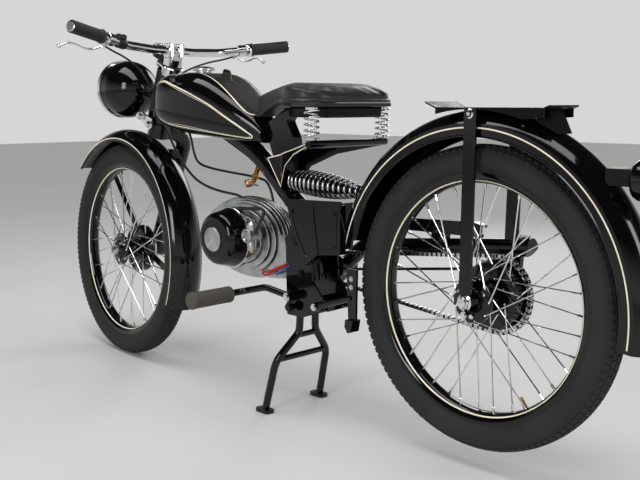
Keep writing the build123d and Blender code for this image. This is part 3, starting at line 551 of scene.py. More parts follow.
def together(tree, forms):
    """Several forms joined as one."""
    one = node(tree, "GeometryNodeJoinGeometry")
    for form in forms:
        tree.links.new(form.outputs[0], one.inputs[0])
    return one


def ringed(tree, entry, form):
    """Ends a tree: a form is set round the wheel's axis as often as it is counted, from a phase on."""
    spots = node(tree, "GeometryNodeMeshLine", {"Count": entry["Count"], "Offset": (0, 0, 0)})
    number = node(tree, "GeometryNodeInputIndex")
    share = node(tree, "ShaderNodeMath", {0: 2 * pi, 1: entry["Count"]}, operation="DIVIDE")
    turn = node(tree, "ShaderNodeMath", {0: number, 1: share, 2: entry["Phase"]}, operation="MULTIPLY_ADD")
    facing = node(tree, "ShaderNodeCombineXYZ", {"Y": turn})
    placed = node(tree, "GeometryNodeInstanceOnPoints",
                  {"Points": spots, "Instance": form, "Rotation": facing})
    close_tree(tree, placed, entry["Finish"])


def spoke_tree():
    """One set of spokes round the wheel's axis, with a nipple at each rim end and a head at each hub end."""
    tree, entry = geometry_tree("spoke_set", [
        ("Count", "Int", 9), ("Foot Radius", "Float", 0.04), ("Rim Radius", "Float", 0.23),
        ("Flange", "Float", 0.03), ("Rim Side", "Float", 0.005), ("Lean", "Float", 1.0),
        ("Phase", "Float", 0.0), ("Wire", "Float", 0.0013), ("Nipple", "Float", 0.014),
        ("Nipple Radius", "Float", 0.0026), ("Finish", "Material", None)])
    foot_x = node(tree, "ShaderNodeMath", {0: entry["Lean"]}, operation="COSINE")
    foot_z = node(tree, "ShaderNodeMath", {0: entry["Lean"]}, operation="SINE")
    flat = node(tree, "ShaderNodeCombineXYZ", {"X": foot_x, "Z": foot_z})
    arm = node(tree, "ShaderNodeVectorMath", {0: flat, "Scale": entry["Foot Radius"]}, operation="SCALE")
    shift = node(tree, "ShaderNodeCombineXYZ", {"Y": entry["Flange"]})
    foot = node(tree, "ShaderNodeVectorMath", {0: arm, 1: shift}, operation="ADD")
    tip = node(tree, "ShaderNodeCombineXYZ", {"X": entry["Rim Radius"], "Y": entry["Rim Side"]})
    run = node(tree, "ShaderNodeVectorMath", {0: foot, 1: tip}, operation="SUBTRACT")
    unit = node(tree, "ShaderNodeVectorMath", {0: run}, operation="NORMALIZE")
    back = node(tree, "ShaderNodeVectorMath", {0: unit, "Scale": entry["Nipple"]}, operation="SCALE")
    collar = node(tree, "ShaderNodeVectorMath", {0: tip, 1: back}, operation="ADD")
    forms = []
    for start, end, radius, sides in ((foot, tip, "Wire", 8), (collar, tip, "Nipple Radius", 6)):
        line = node(tree, "GeometryNodeCurvePrimitiveLine", {"Start": start, "End": end}, mode="POINTS")
        ring = node(tree, "GeometryNodeCurvePrimitiveCircle",
                    {"Resolution": sides, "Radius": entry[radius]}, mode="RADIUS")
        bar = node(tree, "GeometryNodeCurveToMesh",
                   {"Curve": line, "Profile Curve": ring, "Fill Caps": True})
        forms.append(bar)
    head = node(tree, "GeometryNodeMeshUVSphere",
                {"Segments": 8, "Rings": 5, "Radius": entry["Nipple Radius"]})
    seated = node(tree, "GeometryNodeTransform", {"Geometry": head, "Translation": foot})
    forms.append(seated)
    ringed(tree, entry, together(tree, forms))
    return tree


def ring_tree():
    """Tapered blocks set round the wheel's axis, such as tread blocks or sprocket teeth."""
    tree, entry = geometry_tree("block_ring", [
        ("Count", "Int", 80), ("Radius", "Float", 0.3), ("Offset", "Float", 0.0), ("Tilt", "Float", 0.0),
        ("Long", "Float", 0.014), ("Wide", "Float", 0.009), ("High", "Float", 0.003),
        ("Top", "Float", 0.8), ("Phase", "Float", 0.0), ("Finish", "Material", None)])
    sheet = node(tree, "GeometryNodeMeshGrid", {"Size X": entry["Long"], "Size Y": entry["Wide"],
                                                "Vertices X": 2, "Vertices Y": 2})
    raised = node(tree, "GeometryNodeExtrudeMesh",
                  {"Mesh": sheet, "Offset Scale": entry["High"], "Individual": True})
    eased = node(tree, "GeometryNodeScaleElements",
                 {"Geometry": raised, "Selection": raised.outputs["Top"], "Scale": entry["Top"]})
    lean = node(tree, "ShaderNodeCombineXYZ", {"Y": pi / 2, "Z": entry["Tilt"]})
    place = node(tree, "ShaderNodeCombineXYZ", {"X": entry["Radius"], "Y": entry["Offset"]})
    seated = node(tree, "GeometryNodeTransform",
                  {"Geometry": eased, "Translation": place, "Rotation": lean})
    ringed(tree, entry, seated)
    return tree


def coil_tree():
    """A coil spring along +Z: its radius follows start, middle and end, and its end turns lie flat."""
    tree, entry = geometry_tree("coil_spring", [
        ("Length", "Float", 0.07), ("Start Radius", "Float", 0.015), ("Middle Radius", "Float", 0.015),
        ("End Radius", "Float", 0.015), ("Turns", "Float", 6.0), ("Steps", "Int", 200),
        ("Wire", "Float", 0.0025), ("Flat End", "Float", 0.06), ("Finish", "Material", None)])
    spots = node(tree, "GeometryNodeMeshLine", {"Count": entry["Steps"], "Offset": (0, 0, 0)})
    number = node(tree, "GeometryNodeInputIndex")
    share = node(tree, "ShaderNodeMath", {0: number, 1: entry["Steps"]}, operation="DIVIDE")
    early = node(tree, "ShaderNodeMapRange",
                 {"Value": share, "To Min": entry["Start Radius"], "To Max": entry["Middle Radius"]})
    late = node(tree, "ShaderNodeMapRange",
                {"Value": share, "To Min": entry["Middle Radius"], "To Max": entry["End Radius"]})
    radius = node(tree, "ShaderNodeMapRange", {"Value": share, "To Min": early, "To Max": late})
    whole = node(tree, "ShaderNodeMath", {0: entry["Turns"], 1: 2 * pi}, operation="MULTIPLY")
    turn = node(tree, "ShaderNodeMath", {0: share, 1: whole}, operation="MULTIPLY")
    cosine = node(tree, "ShaderNodeMath", {0: turn}, operation="COSINE")
    sine = node(tree, "ShaderNodeMath", {0: turn}, operation="SINE")
    x = node(tree, "ShaderNodeMath", {0: cosine, 1: radius}, operation="MULTIPLY")
    y = node(tree, "ShaderNodeMath", {0: sine, 1: radius}, operation="MULTIPLY")
    far = node(tree, "ShaderNodeMath", {0: 1.0, 1: entry["Flat End"]}, operation="SUBTRACT")
    climb = node(tree, "ShaderNodeMapRange",
                 {"Value": share, "From Min": entry["Flat End"], "From Max": far},
                 interpolation_type="LINEAR")
    z = node(tree, "ShaderNodeMath", {0: climb, 1: entry["Length"]}, operation="MULTIPLY")
    place = node(tree, "ShaderNodeCombineXYZ", {"X": x, "Y": y, "Z": z})
    wound = node(tree, "GeometryNodeSetPosition", {"Geometry": spots, "Position": place})
    line = node(tree, "GeometryNodeMeshToCurve", {"Mesh": wound})
    ring = node(tree, "GeometryNodeCurvePrimitiveCircle", {"Resolution": 12, "Radius": entry["Wire"]},
                mode="RADIUS")
    wire = node(tree, "GeometryNodeCurveToMesh",
                {"Curve": line, "Profile Curve": ring, "Fill Caps": True})
    close_tree(tree, wire, entry["Finish"])
    return tree


def planted(tree, entry, forms, axis):
    """Ends a seeded tree: the forms together are set on each seed, with one axis the way it faces."""
    way = node(tree, "GeometryNodeInputNamedAttribute", {"Name": "facing"}, data_type="FLOAT_VECTOR")
    facing = node(tree, "FunctionNodeAlignRotationToVector", {"Vector": way}, axis=axis)
    placed = node(tree, "GeometryNodeInstanceOnPoints",
                  {"Points": entry["Seeds"], "Instance": together(tree, forms), "Rotation": facing})
    close_tree(tree, placed, entry["Finish"])


def bolt_tree():
    """Six-sided bolt heads on round washers, standing on their seeds."""
    tree, entry = geometry_tree("bolt_set", [
        ("Size", "Float", 0.008), ("Height", "Float", 0.005), ("Finish", "Material", None)], seeded=True)
    half = node(tree, "ShaderNodeMath", {0: entry["Height"], 1: 0.5}, operation="MULTIPLY")
    high = node(tree, "ShaderNodeCombineXYZ", {"Z": half})
    head = node(tree, "GeometryNodeMeshCylinder",
                {"Vertices": 6, "Radius": entry["Size"], "Depth": entry["Height"]})
    raised = node(tree, "GeometryNodeTransform", {"Geometry": head, "Translation": high})
    wide = node(tree, "ShaderNodeMath", {0: entry["Size"], 1: WASHER_TO_HEAD}, operation="MULTIPLY")
    washer = node(tree, "GeometryNodeMeshCylinder", {"Vertices": 28, "Radius": wide, "Depth": half})
    planted(tree, entry, [raised, washer], "Z")
    return tree


def chain_tree():
    """Roller chain links: two side plates and a roller, along the way that each seed faces."""
    tree, entry = geometry_tree("chain_links", [
        ("Pitch", "Float", 0.0127), ("Plate", "Float", 0.0012), ("High", "Float", 0.0078),
        ("Half", "Float", 0.0038), ("Roller", "Float", 0.0040), ("Finish", "Material", None)], seeded=True)
    long = node(tree, "ShaderNodeMath", {0: entry["Pitch"], 1: PLATE_TO_PITCH}, operation="MULTIPLY")
    size = node(tree, "ShaderNodeCombineXYZ", {"X": long, "Y": entry["Plate"], "Z": entry["High"]})
    plate = node(tree, "GeometryNodeMeshCube", {"Size": size})
    forms = []
    for side in (1.0, -1.0):
        off = node(tree, "ShaderNodeMath", {0: entry["Half"], 1: side}, operation="MULTIPLY")
        shift = node(tree, "ShaderNodeCombineXYZ", {"Y": off})
        moved = node(tree, "GeometryNodeTransform", {"Geometry": plate, "Translation": shift})
        forms.append(moved)
    wide = node(tree, "ShaderNodeMath", {0: entry["Half"], 1: ROLLER_TO_HALF}, operation="MULTIPLY")
    roller = node(tree, "GeometryNodeMeshCylinder",
                  {"Vertices": 14, "Radius": entry["Roller"], "Depth": wide})
    laid = node(tree, "GeometryNodeTransform", {"Geometry": roller, "Rotation": (pi / 2, 0, 0)})
    forms.append(laid)
    planted(tree, entry, forms, "X")
    return tree


SPOKE_SET = spoke_tree()
BLOCK_RING = ring_tree()
COIL_SPRING = coil_tree()
BOLT_SET = bolt_tree()
CHAIN_LINKS = chain_tree()


def along(start, end):
    """The placing of a form made along +Z from the origin, so that it runs from start towards end."""
    return Matrix.Translation(start) @ (end - start).to_track_quat("Z", "Y").to_matrix().to_4x4()


# Wheels

RIM_R = 250
RIM_HALF = 23
TYRE_R = 306
TYRE_HALF = 32
TREAD_HIGH = 2.2
WALL_R = RIM_R + 23
TREAD_SINK = 0.6
TREAD_PITCHES = 118
HUB_FLANGE_R = 46
HUB_FLANGE_Y = 27
HUB_BOLTS = 3
HUB_BOLT_R = 32
DRUM_R = 68
DRUM_END_Y = -47
CHAIN_Y = -56
SPROCKET_R = 72
SPROCKET_TEETH = 37
SPOKES_IN_SET = 9
SPOKE_LEAN = 58
SPOKE_SEAT_R = RIM_R - 19.8
SPOKE_SEAT_Y = 5
SPOKE_CROSSING = 4.2
SPOKE_SHIFT = 10
SPOKE_R = 1.5
NIPPLE_LONG = 13
NIPPLE_R = 2.7
TREAD_ROWS = [
    # offset, drop below the crown, tilt, block length, width, share of a pitch that it is shifted
    (0.0, 0.0, 0, 13.6, 9.0, 0.0),
    (11.5, 0.9, 9, 13.2, 9.0, 0.5),
    (-11.5, 0.9, -9, 13.2, 9.0, 0.5),
    (22.0, 5.6, 34, 12.0, 11.0, 0.0),
    (-22.0, 5.6, -34, 12.0, 11.0, 0.0),
]


def tyre_form():
    """The tyre's carcass: a squarish round wall, and beads that sit in the rim."""
    carcass_r = TYRE_R - TREAD_HIGH
    profile = []
    for step in range(33):
        turn = pi * step / 32
        y = TYRE_HALF * copysign(abs(cos(turn)) ** 0.75, cos(turn))
        profile.append((y, WALL_R + (carcass_r - WALL_R) * sin(turn) ** 0.8))
    bead = [(TYRE_HALF - 1.2, RIM_R + 14), (TYRE_HALF - 5, RIM_R + 6), (RIM_HALF - 1, RIM_R + 1)]
    profile += [(-y, radius) for y, radius in bead] + bead[::-1]
    return lathe(profile, Vector(), CROSSWISE, steps=144, looped=True)


def tyre_mesh(place):
    """The carcass with its rows of tread blocks."""
    rows = [Shape().add(tyre_form(), TYRE).mesh(place)]
    for offset, drop, tilt, long, wide, shift in TREAD_ROWS:
        rows.append(grown(
            BLOCK_RING, place=place, count=TREAD_PITCHES,
            radius=(TYRE_R - TREAD_HIGH - drop - TREAD_SINK) * MM, offset=offset * MM, tilt=radians(tilt),
            long=long * MM, wide=wide * MM, high=(TREAD_HIGH + 0.5) * MM, top=0.84,
            phase=shift * 2 * pi / TREAD_PITCHES, finish=TYRE))
    return joined(rows)


def rim_form():
    """The rim's well, flanks and edges."""
    flank = [(RIM_HALF, RIM_R + 2), (RIM_HALF, RIM_R - 4), (RIM_HALF - 3, RIM_R - 9), (12, RIM_R - 18.5),
             (7, RIM_R - 20.7)]
    section = [(-y, radius) for y, radius in flank] + flank[::-1]
    return lathe(section, Vector(), CROSSWISE, steps=128, looped=True)


def spoke_mesh(place):
    """Four sets of spokes: from each flange, one set leaning each way."""
    sets = []
    for number, (lean, flank) in enumerate(((1, 1), (1, -1), (-1, 1), (-1, -1))):
        sets.append(grown(
            SPOKE_SET, place=place, count=SPOKES_IN_SET, foot_radius=(HUB_FLANGE_R - 5) * MM,
            rim_radius=SPOKE_SEAT_R * MM, flange=flank * (HUB_FLANGE_Y + lean * SPOKE_CROSSING) * MM,
            rim_side=flank * SPOKE_SEAT_Y * MM, lean=lean * radians(SPOKE_LEAN),
            phase=radians(number * SPOKE_SHIFT), wire=SPOKE_R * MM, nipple=NIPPLE_LONG * MM,
            nipple_radius=NIPPLE_R * MM, finish=CHROME))
    return joined(sets)


def wheel(side, body, place):
    """A wheel's tyre, rim, cream lines and spokes."""
    piece(f"{side}_tyre_with_tread", tyre_mesh(place), body, "tyre_rubber", f"{side}_tyre")
    rim = Shape().add(rim_form(), ENAMEL)
    piece(f"{side}_rim_black", rim, body, "black_enamel", f"{side}_rim", place=place, crease=50)
    lines = Shape()
    for flank in (1, -1):
        edge = [(flank * 15.2, RIM_R - 15.9), (flank * 17.4, RIM_R - 13.5)]
        lines.add(lathe(edge[::-flank], Vector(), CROSSWISE, steps=128), LINING)
    piece(f"{side}_rim_lines", lines, body, "black_enamel", place=place, sheet=True)
    piece(f"{side}_spokes", spoke_mesh(place), body, "bright_steel")


def hub_form(sprocket):
    """The hub's shell: left flange, waisted barrel, brake drum, and a sprocket where there is one."""
    flange_in = HUB_FLANGE_Y - 3
    flange_out = HUB_FLANGE_Y + 3
    profile = [
        (40, 10), (40, 22), (36, 24), (flange_out + 1.5, 26), (flange_out, HUB_FLANGE_R - 2),
        (flange_out - 1.2, HUB_FLANGE_R), (flange_in + 1.2, HUB_FLANGE_R), (flange_in, HUB_FLANGE_R - 2),
        (flange_in - 2, 27), (10, 23.5), (-10, 23.5), (-flange_in + 2, 28), (-flange_in, DRUM_R - 3),
        (-flange_in - 2, DRUM_R), (DRUM_END_Y + 8, DRUM_R), (DRUM_END_Y + 6, DRUM_R - 2),
        (DRUM_END_Y + 4, DRUM_R), (DRUM_END_Y, DRUM_R), (DRUM_END_Y, 34),
    ]
    if sprocket:
        profile += [(CHAIN_Y + 2.5, 34), (CHAIN_Y + 2.5, SPROCKET_R), (CHAIN_Y - 2.5, SPROCKET_R),
                    (CHAIN_Y - 2.5, 10)]
    else:
        profile += [(DRUM_END_Y, 10)]
    return lathe(profile, Vector(), CROSSWISE, steps=96)


rear_place = Matrix.Translation(REAR_HUB)
front_place = STEERED @ Matrix.Translation(FRONT_HUB)
for side, body, place in (("rear", "rear_wheel", rear_place), ("front", "front_wheel", front_place)):
    wheel(side, body, place)
    hub = Shape().add(hub_form(side == "rear"), ENAMEL)
    for number in range(HUB_BOLTS):
        turn = 2 * pi * number / HUB_BOLTS + 0.5
        foot = Vector((cos(turn) * HUB_BOLT_R, HUB_FLANGE_Y + 3, sin(turn) * HUB_BOLT_R)) * MM
        hub.add(six_sided(foot, CROSSWISE, 10, 5), CHROME)
    shell = hub.mesh(place)
    if side == "rear":
        teeth = grown(BLOCK_RING, place=place, count=SPROCKET_TEETH, radius=(SPROCKET_R - 0.5) * MM,
                      offset=CHAIN_Y * MM, long=7.5 * MM, wide=4.6 * MM, high=6.5 * MM, top=0.45,
                      finish=STEEL)
        shell = joined([shell, teeth])
    piece(f"{side}_hub_shell", shell, body, "bright_steel", f"{side}_hub")


# Mudguards

GUARD_SHEET = 1.6
GUARD_STEPS = 96
GUARD_BEAD_R = 2.4
GUARD_LINE = 2.8
LINE_STOPS_SHORT = 1.2


def mudguard(side, body, hub, place, crown_r, half, skirt, start, sweep, level=None):
    """A valanced sheet guard with wired edges and a cream line along each side.

    It sweeps from a start angle. A level is the height above the hub of a front end that is cut level.
    """
    shoulder_r = crown_r - half * 0.55
    edge_r = shoulder_r - skirt
    middle_r = edge_r + skirt * 0.5
    rise = crown_r - shoulder_r
    arc_r = (half * half + rise * rise) / (2 * rise)
    turns = [asin(half / arc_r) * (1 - step / 10) for step in range(21)]
    crown = [(arc_r * sin(turn), crown_r - arc_r + arc_r * cos(turn)) for turn in turns]
    outer = [(half, edge_r), (half, middle_r)] + crown + [(-half, middle_r), (-half, edge_r)]
    inner = [(y * (half - GUARD_SHEET) / half, radius - (GUARD_SHEET if abs(y) < half - 1 else 0))
             for y, radius in outer]

    def lies(ring, y, radius, short=0.0):
        """A point at one of the guard's rings, on a run that may stop short of the ends by an angle."""
        first = radians(start + short) if level is None else asin(level / radius) + radians(short)
        turn = first + (radians(start + sweep - short) - first) * ring / GUARD_STEPS
        return hub + Vector((cos(turn) * radius, y, sin(turn) * radius)) * MM

    rings = range(GUARD_STEPS + 1)
    section = outer + inner[::-1]
    rows = [[lies(ring, y, radius) for y, radius in section] for ring in rings]
    guard = Shape().add(skinned(rows, capped=True), ENAMEL)
    lines = Shape()
    for flank in (1, -1):
        bead = [lies(ring, flank * (half - GUARD_SHEET), edge_r) for ring in rings]
        guard.add(tube(bead, GUARD_BEAD_R, sides=8), ENAMEL)
        line = [lies(ring, flank * half, middle_r + 4, LINE_STOPS_SHORT) for ring in rings]
        lines.add(band(line, [CROSSWISE * flank] * len(line), GUARD_LINE, 0.3), LINING)
    piece(f"{side}_mudguard_sheet", guard, body, "black_enamel", f"{side}_mudguard", place=place)
    piece(f"{side}_mudguard_lines", lines, body, "black_enamel", place=place, sheet=True)


mudguard("rear", "frame", REAR_HUB, STRAIGHT, crown_r=TYRE_R + 65.8, half=47, skirt=24, start=12, sweep=175)
mudguard("front", "fork", FRONT_HUB, STEERED, crown_r=TYRE_R + 42, half=48, skirt=8, start=43, sweep=159,
         level=222)


# Springs

COIL_STEPS = 28
SADDLE_SPRING_AHEAD = 368
SADDLE_SPRING_Y = 112
SADDLE_SPRING_ENDS_Z = (654, 718)
SPRING_FRONT = spot(544.6, 0, 550)
SPRING_REAR = spot(327, 0, 535.4)


def coil(start, end, radii, turns, wire, finish):
    """A coil between two points, its radius given at the start, in the middle and at the end."""
    return grown(COIL_SPRING, place=along(start, end), length=(end - start).length,
                 start_radius=radii[0] * MM, middle_radius=radii[1] * MM, end_radius=radii[2] * MM,
                 turns=float(turns), steps=ceil(turns * COIL_STEPS), wire=wire * MM, flat_end=0.04,
                 finish=finish)


saddle_coils = []
cups = Shape()
for flank in (1, -1):
    feet = [spot(SADDLE_SPRING_AHEAD, flank * SADDLE_SPRING_Y, z) for z in SADDLE_SPRING_ENDS_Z]
    saddle_coils.append(coil(*feet, (17, 13, 17), 5.5, 2.1, CHROME))
    for foot in feet:
        cups.add(lathe([(-3.4, 0), (-3.4, 13), (-2.4, 14), (2.4, 14), (3.4, 13), (3.4, 0)], foot, UP, 40),
                 CHROME)
piece("saddle_coils", joined(saddle_coils + [cups.mesh()]), "frame", "chrome_plate", "saddle_springs")

barrel = coil(SPRING_FRONT.lerp(SPRING_REAR, 0.02), SPRING_REAR.lerp(SPRING_FRONT, 0.03), (20, 38, 9.5), 15,
              3.3, BRIGHT_SPRING)
core = Shape()
core.add(lathe([(0, 0), (0, 12), (20, 16), (50, 19.5), (85, 20), (120, 18), (160, 12.5), (200, 7), (217, 6),
                (217, 0)], SPRING_FRONT, SPRING_REAR - SPRING_FRONT, 40), SPRING)
for seat, other, radius in ((SPRING_FRONT, SPRING_REAR, 21), (SPRING_REAR, SPRING_FRONT, 14)):
    core.add(lathe([(0, 0), (0, radius - 1), (1, radius), (3, radius), (4, radius - 1), (4, 0)], seat,
                   other - seat, 40), SPRING)
piece("suspension_coil", joined([barrel, core.mesh()]), "frame", "spring_steel", "suspension_spring")


# Curves

def flowing(points, steps=8, looped=False):
    """A smooth path through points."""
    total = len(points)
    path = []
    for number in range(total if looped else total - 1):
        p0, p1, p2, p3 = (
            points[(number + shift) % total if looped else min(max(number + shift, 0), total - 1)]
            for shift in (-1, 0, 1, 2))
        for step in range(steps):
            t = step / steps
            path.append(0.5 * (2 * p1 + (p2 - p0) * t + (2 * p0 - 5 * p1 + 4 * p2 - p3) * t * t
                               + (3 * p1 - p0 - 3 * p2 + p3) * t ** 3))
    if not looped:
        path.append(points[-1])
    return path


def smooth_line(points):
    """Points along one NURBS line that has the given points as its control points."""
    line = bpy.data.curves.new("route", "CURVE")
    line.dimensions = "3D"
    spline = line.splines.new("NURBS")
    spline.points.add(len(points) - 1)
    for knot, point in zip(spline.points, points):
        knot.co = (*point, 1)
    spline.order_u = 3
    spline.use_endpoint_u = True
    line.resolution_u = 14
    return [vert.co.copy() for vert in settled(linked("route", line)).vertices]


def cable(name, body, points, radius, finish, *stands_for):
    """A cable between two fixings of the machine: a tube along a smooth line through its points."""
    path = smooth_line(points)
    made = piece(name, Shape().add(tube(path, radius), finish), body, "cable_cover", *stands_for)


def three_point_arc(start, middle, end, steps=12):
    """Points in plan along the circle through three points, without the last one."""
    a, b, c = (complex(*point) for point in (start, middle, end))
    slant = (c - a) / (b - a)
    centre = (b - a) * (slant - abs(slant) ** 2) / (2j * slant.imag) + a
    first = a - centre
    turn = phase((c - centre) / first)
    if phase((b - centre) / first) * turn < 0:
        turn -= copysign(2 * pi, turn)
    swung = [centre + first * rect(1, turn * step / steps) for step in range(steps)]
    return [(point.real, point.imag) for point in swung]


def surface_of(name):
    """A node's faces as a tree that can be met by a straight line."""
    mesh = frame["nodes"][name].data
    return BVHTree.FromPolygons([vert.co for vert in mesh.vertices],
                                [tuple(face.vertices) for face in mesh.polygons])


def laid_on(starts, heading, target):
    """Where points meet a surface when they are pushed along a heading, and which way it faces there."""
    points = []
    normals = []
    for start in starts:
        hit, normal, _, _ = target.ray_cast(start, heading)
        if hit is not None:
            points.append(hit)
            normals.append(normal if normal.dot(heading) < 0 else -normal)
    return points, normals


# Saddle

SADDLE_ARCS = [
    ((660, 0), (652, 24), (628, 36)),
    ((628, 36), (545, 64), (456, 116)),
    ((456, 116), (386, 142), (340, 100)),
    ((340, 100), (333, 52), (331, 0)),
]
SADDLE_UNDERSIDE = [(320, 730), (490, 730), (530, 726), (562, 719), (595, 708.5), (620, 698), (634, 695),
                    (662, 706)]
SADDLE_REST_Z = 731
WELT_R = 4.2
WELT_INSET = 0.985
WELT_LIFT = 4.5
VALANCE = [(346, 84), (440, 80), (505, 52), (520, 30)]
VALANCE_Z = 698
VALANCE_HIGH = 23.5
PAD_INSET = 3.0
PAD_VOXEL = 5.0
PAD_REACH = 6.0
PAD_PRESSURE = 4
PAD_FRAMES = 20


def between(rows, x):
    """A value at x from rows of (x, value)."""
    for (x_low, low), (x_high, high) in zip(rows, rows[1:]):
        if x <= x_high:
            return low + (high - low) * (x - x_low) / (x_high - x_low)
    return rows[-1][1]


def changed(mesh, kind, **settings):
    """A mesh after one modifier."""
    holder = linked("holder", mesh)
    step = holder.modifiers.new("step", kind)
    for key, value in settings.items():
        setattr(step, key, value)
    return settled(holder)


def padded_form(name, solid, rest_z):
    """A stuffed cover: a solid drawn in, remeshed evenly and blown up as cloth, held where it rests."""
    welded = solid.copy()
    work = bmesh.new()
    work.from_mesh(welded)
    bmesh.ops.remove_doubles(work, verts=work.verts, dist=2 * WELD_M)
    bmesh.ops.recalc_face_normals(work, faces=work.faces)
    work.to_mesh(welded)
    work.free()
    shrunk = changed(welded, "DISPLACE", strength=-PAD_INSET * MM, mid_level=0.0)
    even = changed(shrunk, "REMESH", mode="VOXEL", voxel_size=PAD_VOXEL * MM)
    even = changed(even, "SMOOTH", factor=0.5, iterations=4)
    pad = linked(name, even.copy())
    held = pad.vertex_groups.new(name="rests")
    held_z = (rest_z + 2 + PAD_INSET) * MM
    held.add([vert.index for vert in even.vertices if vert.co.z < held_z], 1.0, "REPLACE")
    cloth = pad.modifiers.new("cloth", "CLOTH")
    cloth.settings.use_pressure = True
    cloth.settings.uniform_pressure_force = PAD_PRESSURE
    cloth.settings.vertex_group_mass = "rests"
    cloth.settings.effector_weights.gravity = 0
    for step in range(PAD_FRAMES):
        scene.frame_set(step + 1)
    blown = settled(pad)
    scene.frame_set(1)
    for vert, grown_vert in zip(even.vertices, blown.vertices):
        move = grown_vert.co - vert.co
        vert.co += move * min(1.0, PAD_REACH * MM / max(move.length, 1e-9))
    made = changed(changed(even, "SMOOTH", factor=0.5, iterations=8), "SUBSURF", levels=1)
    made.materials.clear()
    made.materials.append(HIDE)
    made.shade_smooth()
    return made


cover = padded_form("saddle_cushion", frame["nodes"]["saddle"].data, SADDLE_REST_Z)
cushion = piece("saddle_cushion", cover, "frame", "black_leather", "saddle")

half_plan = [point for arc in SADDLE_ARCS for point in three_point_arc(*arc)] + [SADDLE_ARCS[-1][2]]
plan = half_plan + [(x, -y) for x, y in half_plan[-2:0:-1]]
plan_mid = sum(x for x, _ in plan) / len(plan)
welt = [spot(plan_mid + (x - plan_mid) * WELT_INSET, y * WELT_INSET, between(SADDLE_UNDERSIDE, x) + WELT_LIFT)
        for x, y in plan]
welt_shape = Shape().add(tube(welt, WELT_R, sides=10, looped=True), HIDE)
piece("saddle_welt", welt_shape, "frame", "black_leather")
valance = [spot(x, y, VALANCE_Z) for x, y in VALANCE] + [spot(x, -y, VALANCE_Z) for x, y in VALANCE[::-1]]
valance_shape = Shape().add(slab(valance, UP * (VALANCE_HIGH * MM), bevel=4), JAPAN)
piece("saddle_valance", valance_shape, "frame", "black_enamel")


# Lining on the tank, and a painted reflection on its top

SIDE_LOOP = [(990, 742), (980, 768), (956, 782), (926, 784), (896, 778), (855, 766), (816, 752), (757, 726),
             (715, 700), (680, 677), (655, 659), (646, 651), (654, 646), (680, 648), (727, 654), (787, 662),
             (865, 671), (920, 679), (962, 696), (982, 718)]
TOP_LOOP = [(846, 0), (845, 28), (836, 46), (812, 51), (785, 51), (733, 50), (691, 47), (664, 40), (652, 24),
            (650, 0)]
SIDE_LOOP_MID = Vector((840, 715))
SIDE_LINES = [(0, 3.4), (5.6, 1.0)]  # inset and width
TOP_LINE = 3.0
LINE_PROUD = 0.35
REFLECTION_SHEET_AHEAD = (844, 652)
REFLECTION_SHEET_ROWS = 40
REFLECTION_SHEET_STEPS = 16
REFLECTION_SHEET_PROUD = 0.15
BESIDE_TANK_Y = 200
ABOVE_TANK_Z = 900

tank_skin = surface_of("fuel_tank")
tank_lines = Shape()
for flank in (1, -1):
    for inset, width in SIDE_LINES:
        starts = []
        for ahead, z in SIDE_LOOP:
            at = Vector((ahead, z))
            at += (SIDE_LOOP_MID - at).normalized() * inset
            starts.append(spot(at.x, flank * BESIDE_TANK_Y, at.y))
        points, normals = laid_on(flowing(starts, looped=True), CROSSWISE * -flank, tank_skin)
        tank_lines.add(band(points, normals, width, LINE_PROUD, looped=True), LINING)
top_plan = TOP_LOOP + [(ahead, -y) for ahead, y in TOP_LOOP[-2:0:-1]]
top_ring = flowing([spot(ahead, y, ABOVE_TANK_Z) for ahead, y in top_plan], looped=True)
points, normals = laid_on(top_ring, -UP, tank_skin)
tank_lines.add(band(points, normals, TOP_LINE, LINE_PROUD, looped=True), LINING)
piece("tank_lines", tank_lines, "frame", "black_enamel", sheet=True)

# A greyer satin sheet over the tank top, inside the top line: a painted reflection of the grey room
reflection_sheet = []
sheet_start, sheet_end = (spot(ahead, 0, 0).x for ahead in REFLECTION_SHEET_AHEAD)
for number in range(REFLECTION_SHEET_ROWS + 1):
    x = sheet_start + (sheet_end - sheet_start) * number / REFLECTION_SHEET_ROWS
    reach = max(abs(point.y) for point in top_ring if abs(point.x - x) < 6 * MM)
    shares = [2 * step / REFLECTION_SHEET_STEPS - 1 for step in range(REFLECTION_SHEET_STEPS + 1)]
    starts = [Vector((x, reach * share, ABOVE_TANK_Z * MM)) for share in shares]
    points, normals = laid_on(starts, -UP, tank_skin)
    reflection_sheet.append([point + normal * (REFLECTION_SHEET_PROUD * MM) for point, normal in zip(points, normals)])
reflection_sheet_shape = Shape().add(skinned(reflection_sheet, around=False), TANK_TOP_REFLECTION_GREY)
piece("tank_panel", reflection_sheet_shape, "frame", "black_enamel", sheet=True)

BRACKET_LINES = [
    [(604, 29.4, 600), (560, 29.4, 609), (530, 42.4, 616), (470, 70.4, 626.5), (374, 123, 643)],
    [(558, 29.4, 536), (530, 42.4, 585), (470, 70.4, 615), (374, 123, 637)],
    [(604, 29.4, 600), (581, 29.4, 567), (558, 29.4, 534)],
]
bracket_lines = Shape()
for flank in (1, -1):
    for line in BRACKET_LINES:
        path = []
        for start, end in zip(line, line[1:]):
            path += [Vector(start).lerp(Vector(end), step / 6) for step in range(6)]
        path = [spot(point.x, flank * point.y, point.z) for point in path + [Vector(line[-1])]]
        runs = [after - before for before, after in zip(path, path[1:])]
        normals = [run.cross(UP).normalized() * flank for run in runs + runs[-1:]]
        bracket_lines.add(band(path, normals, 2.6, 0.5), LINING)
piece("bracket_lines", bracket_lines, "frame", "black_enamel", sheet=True)


# Engine

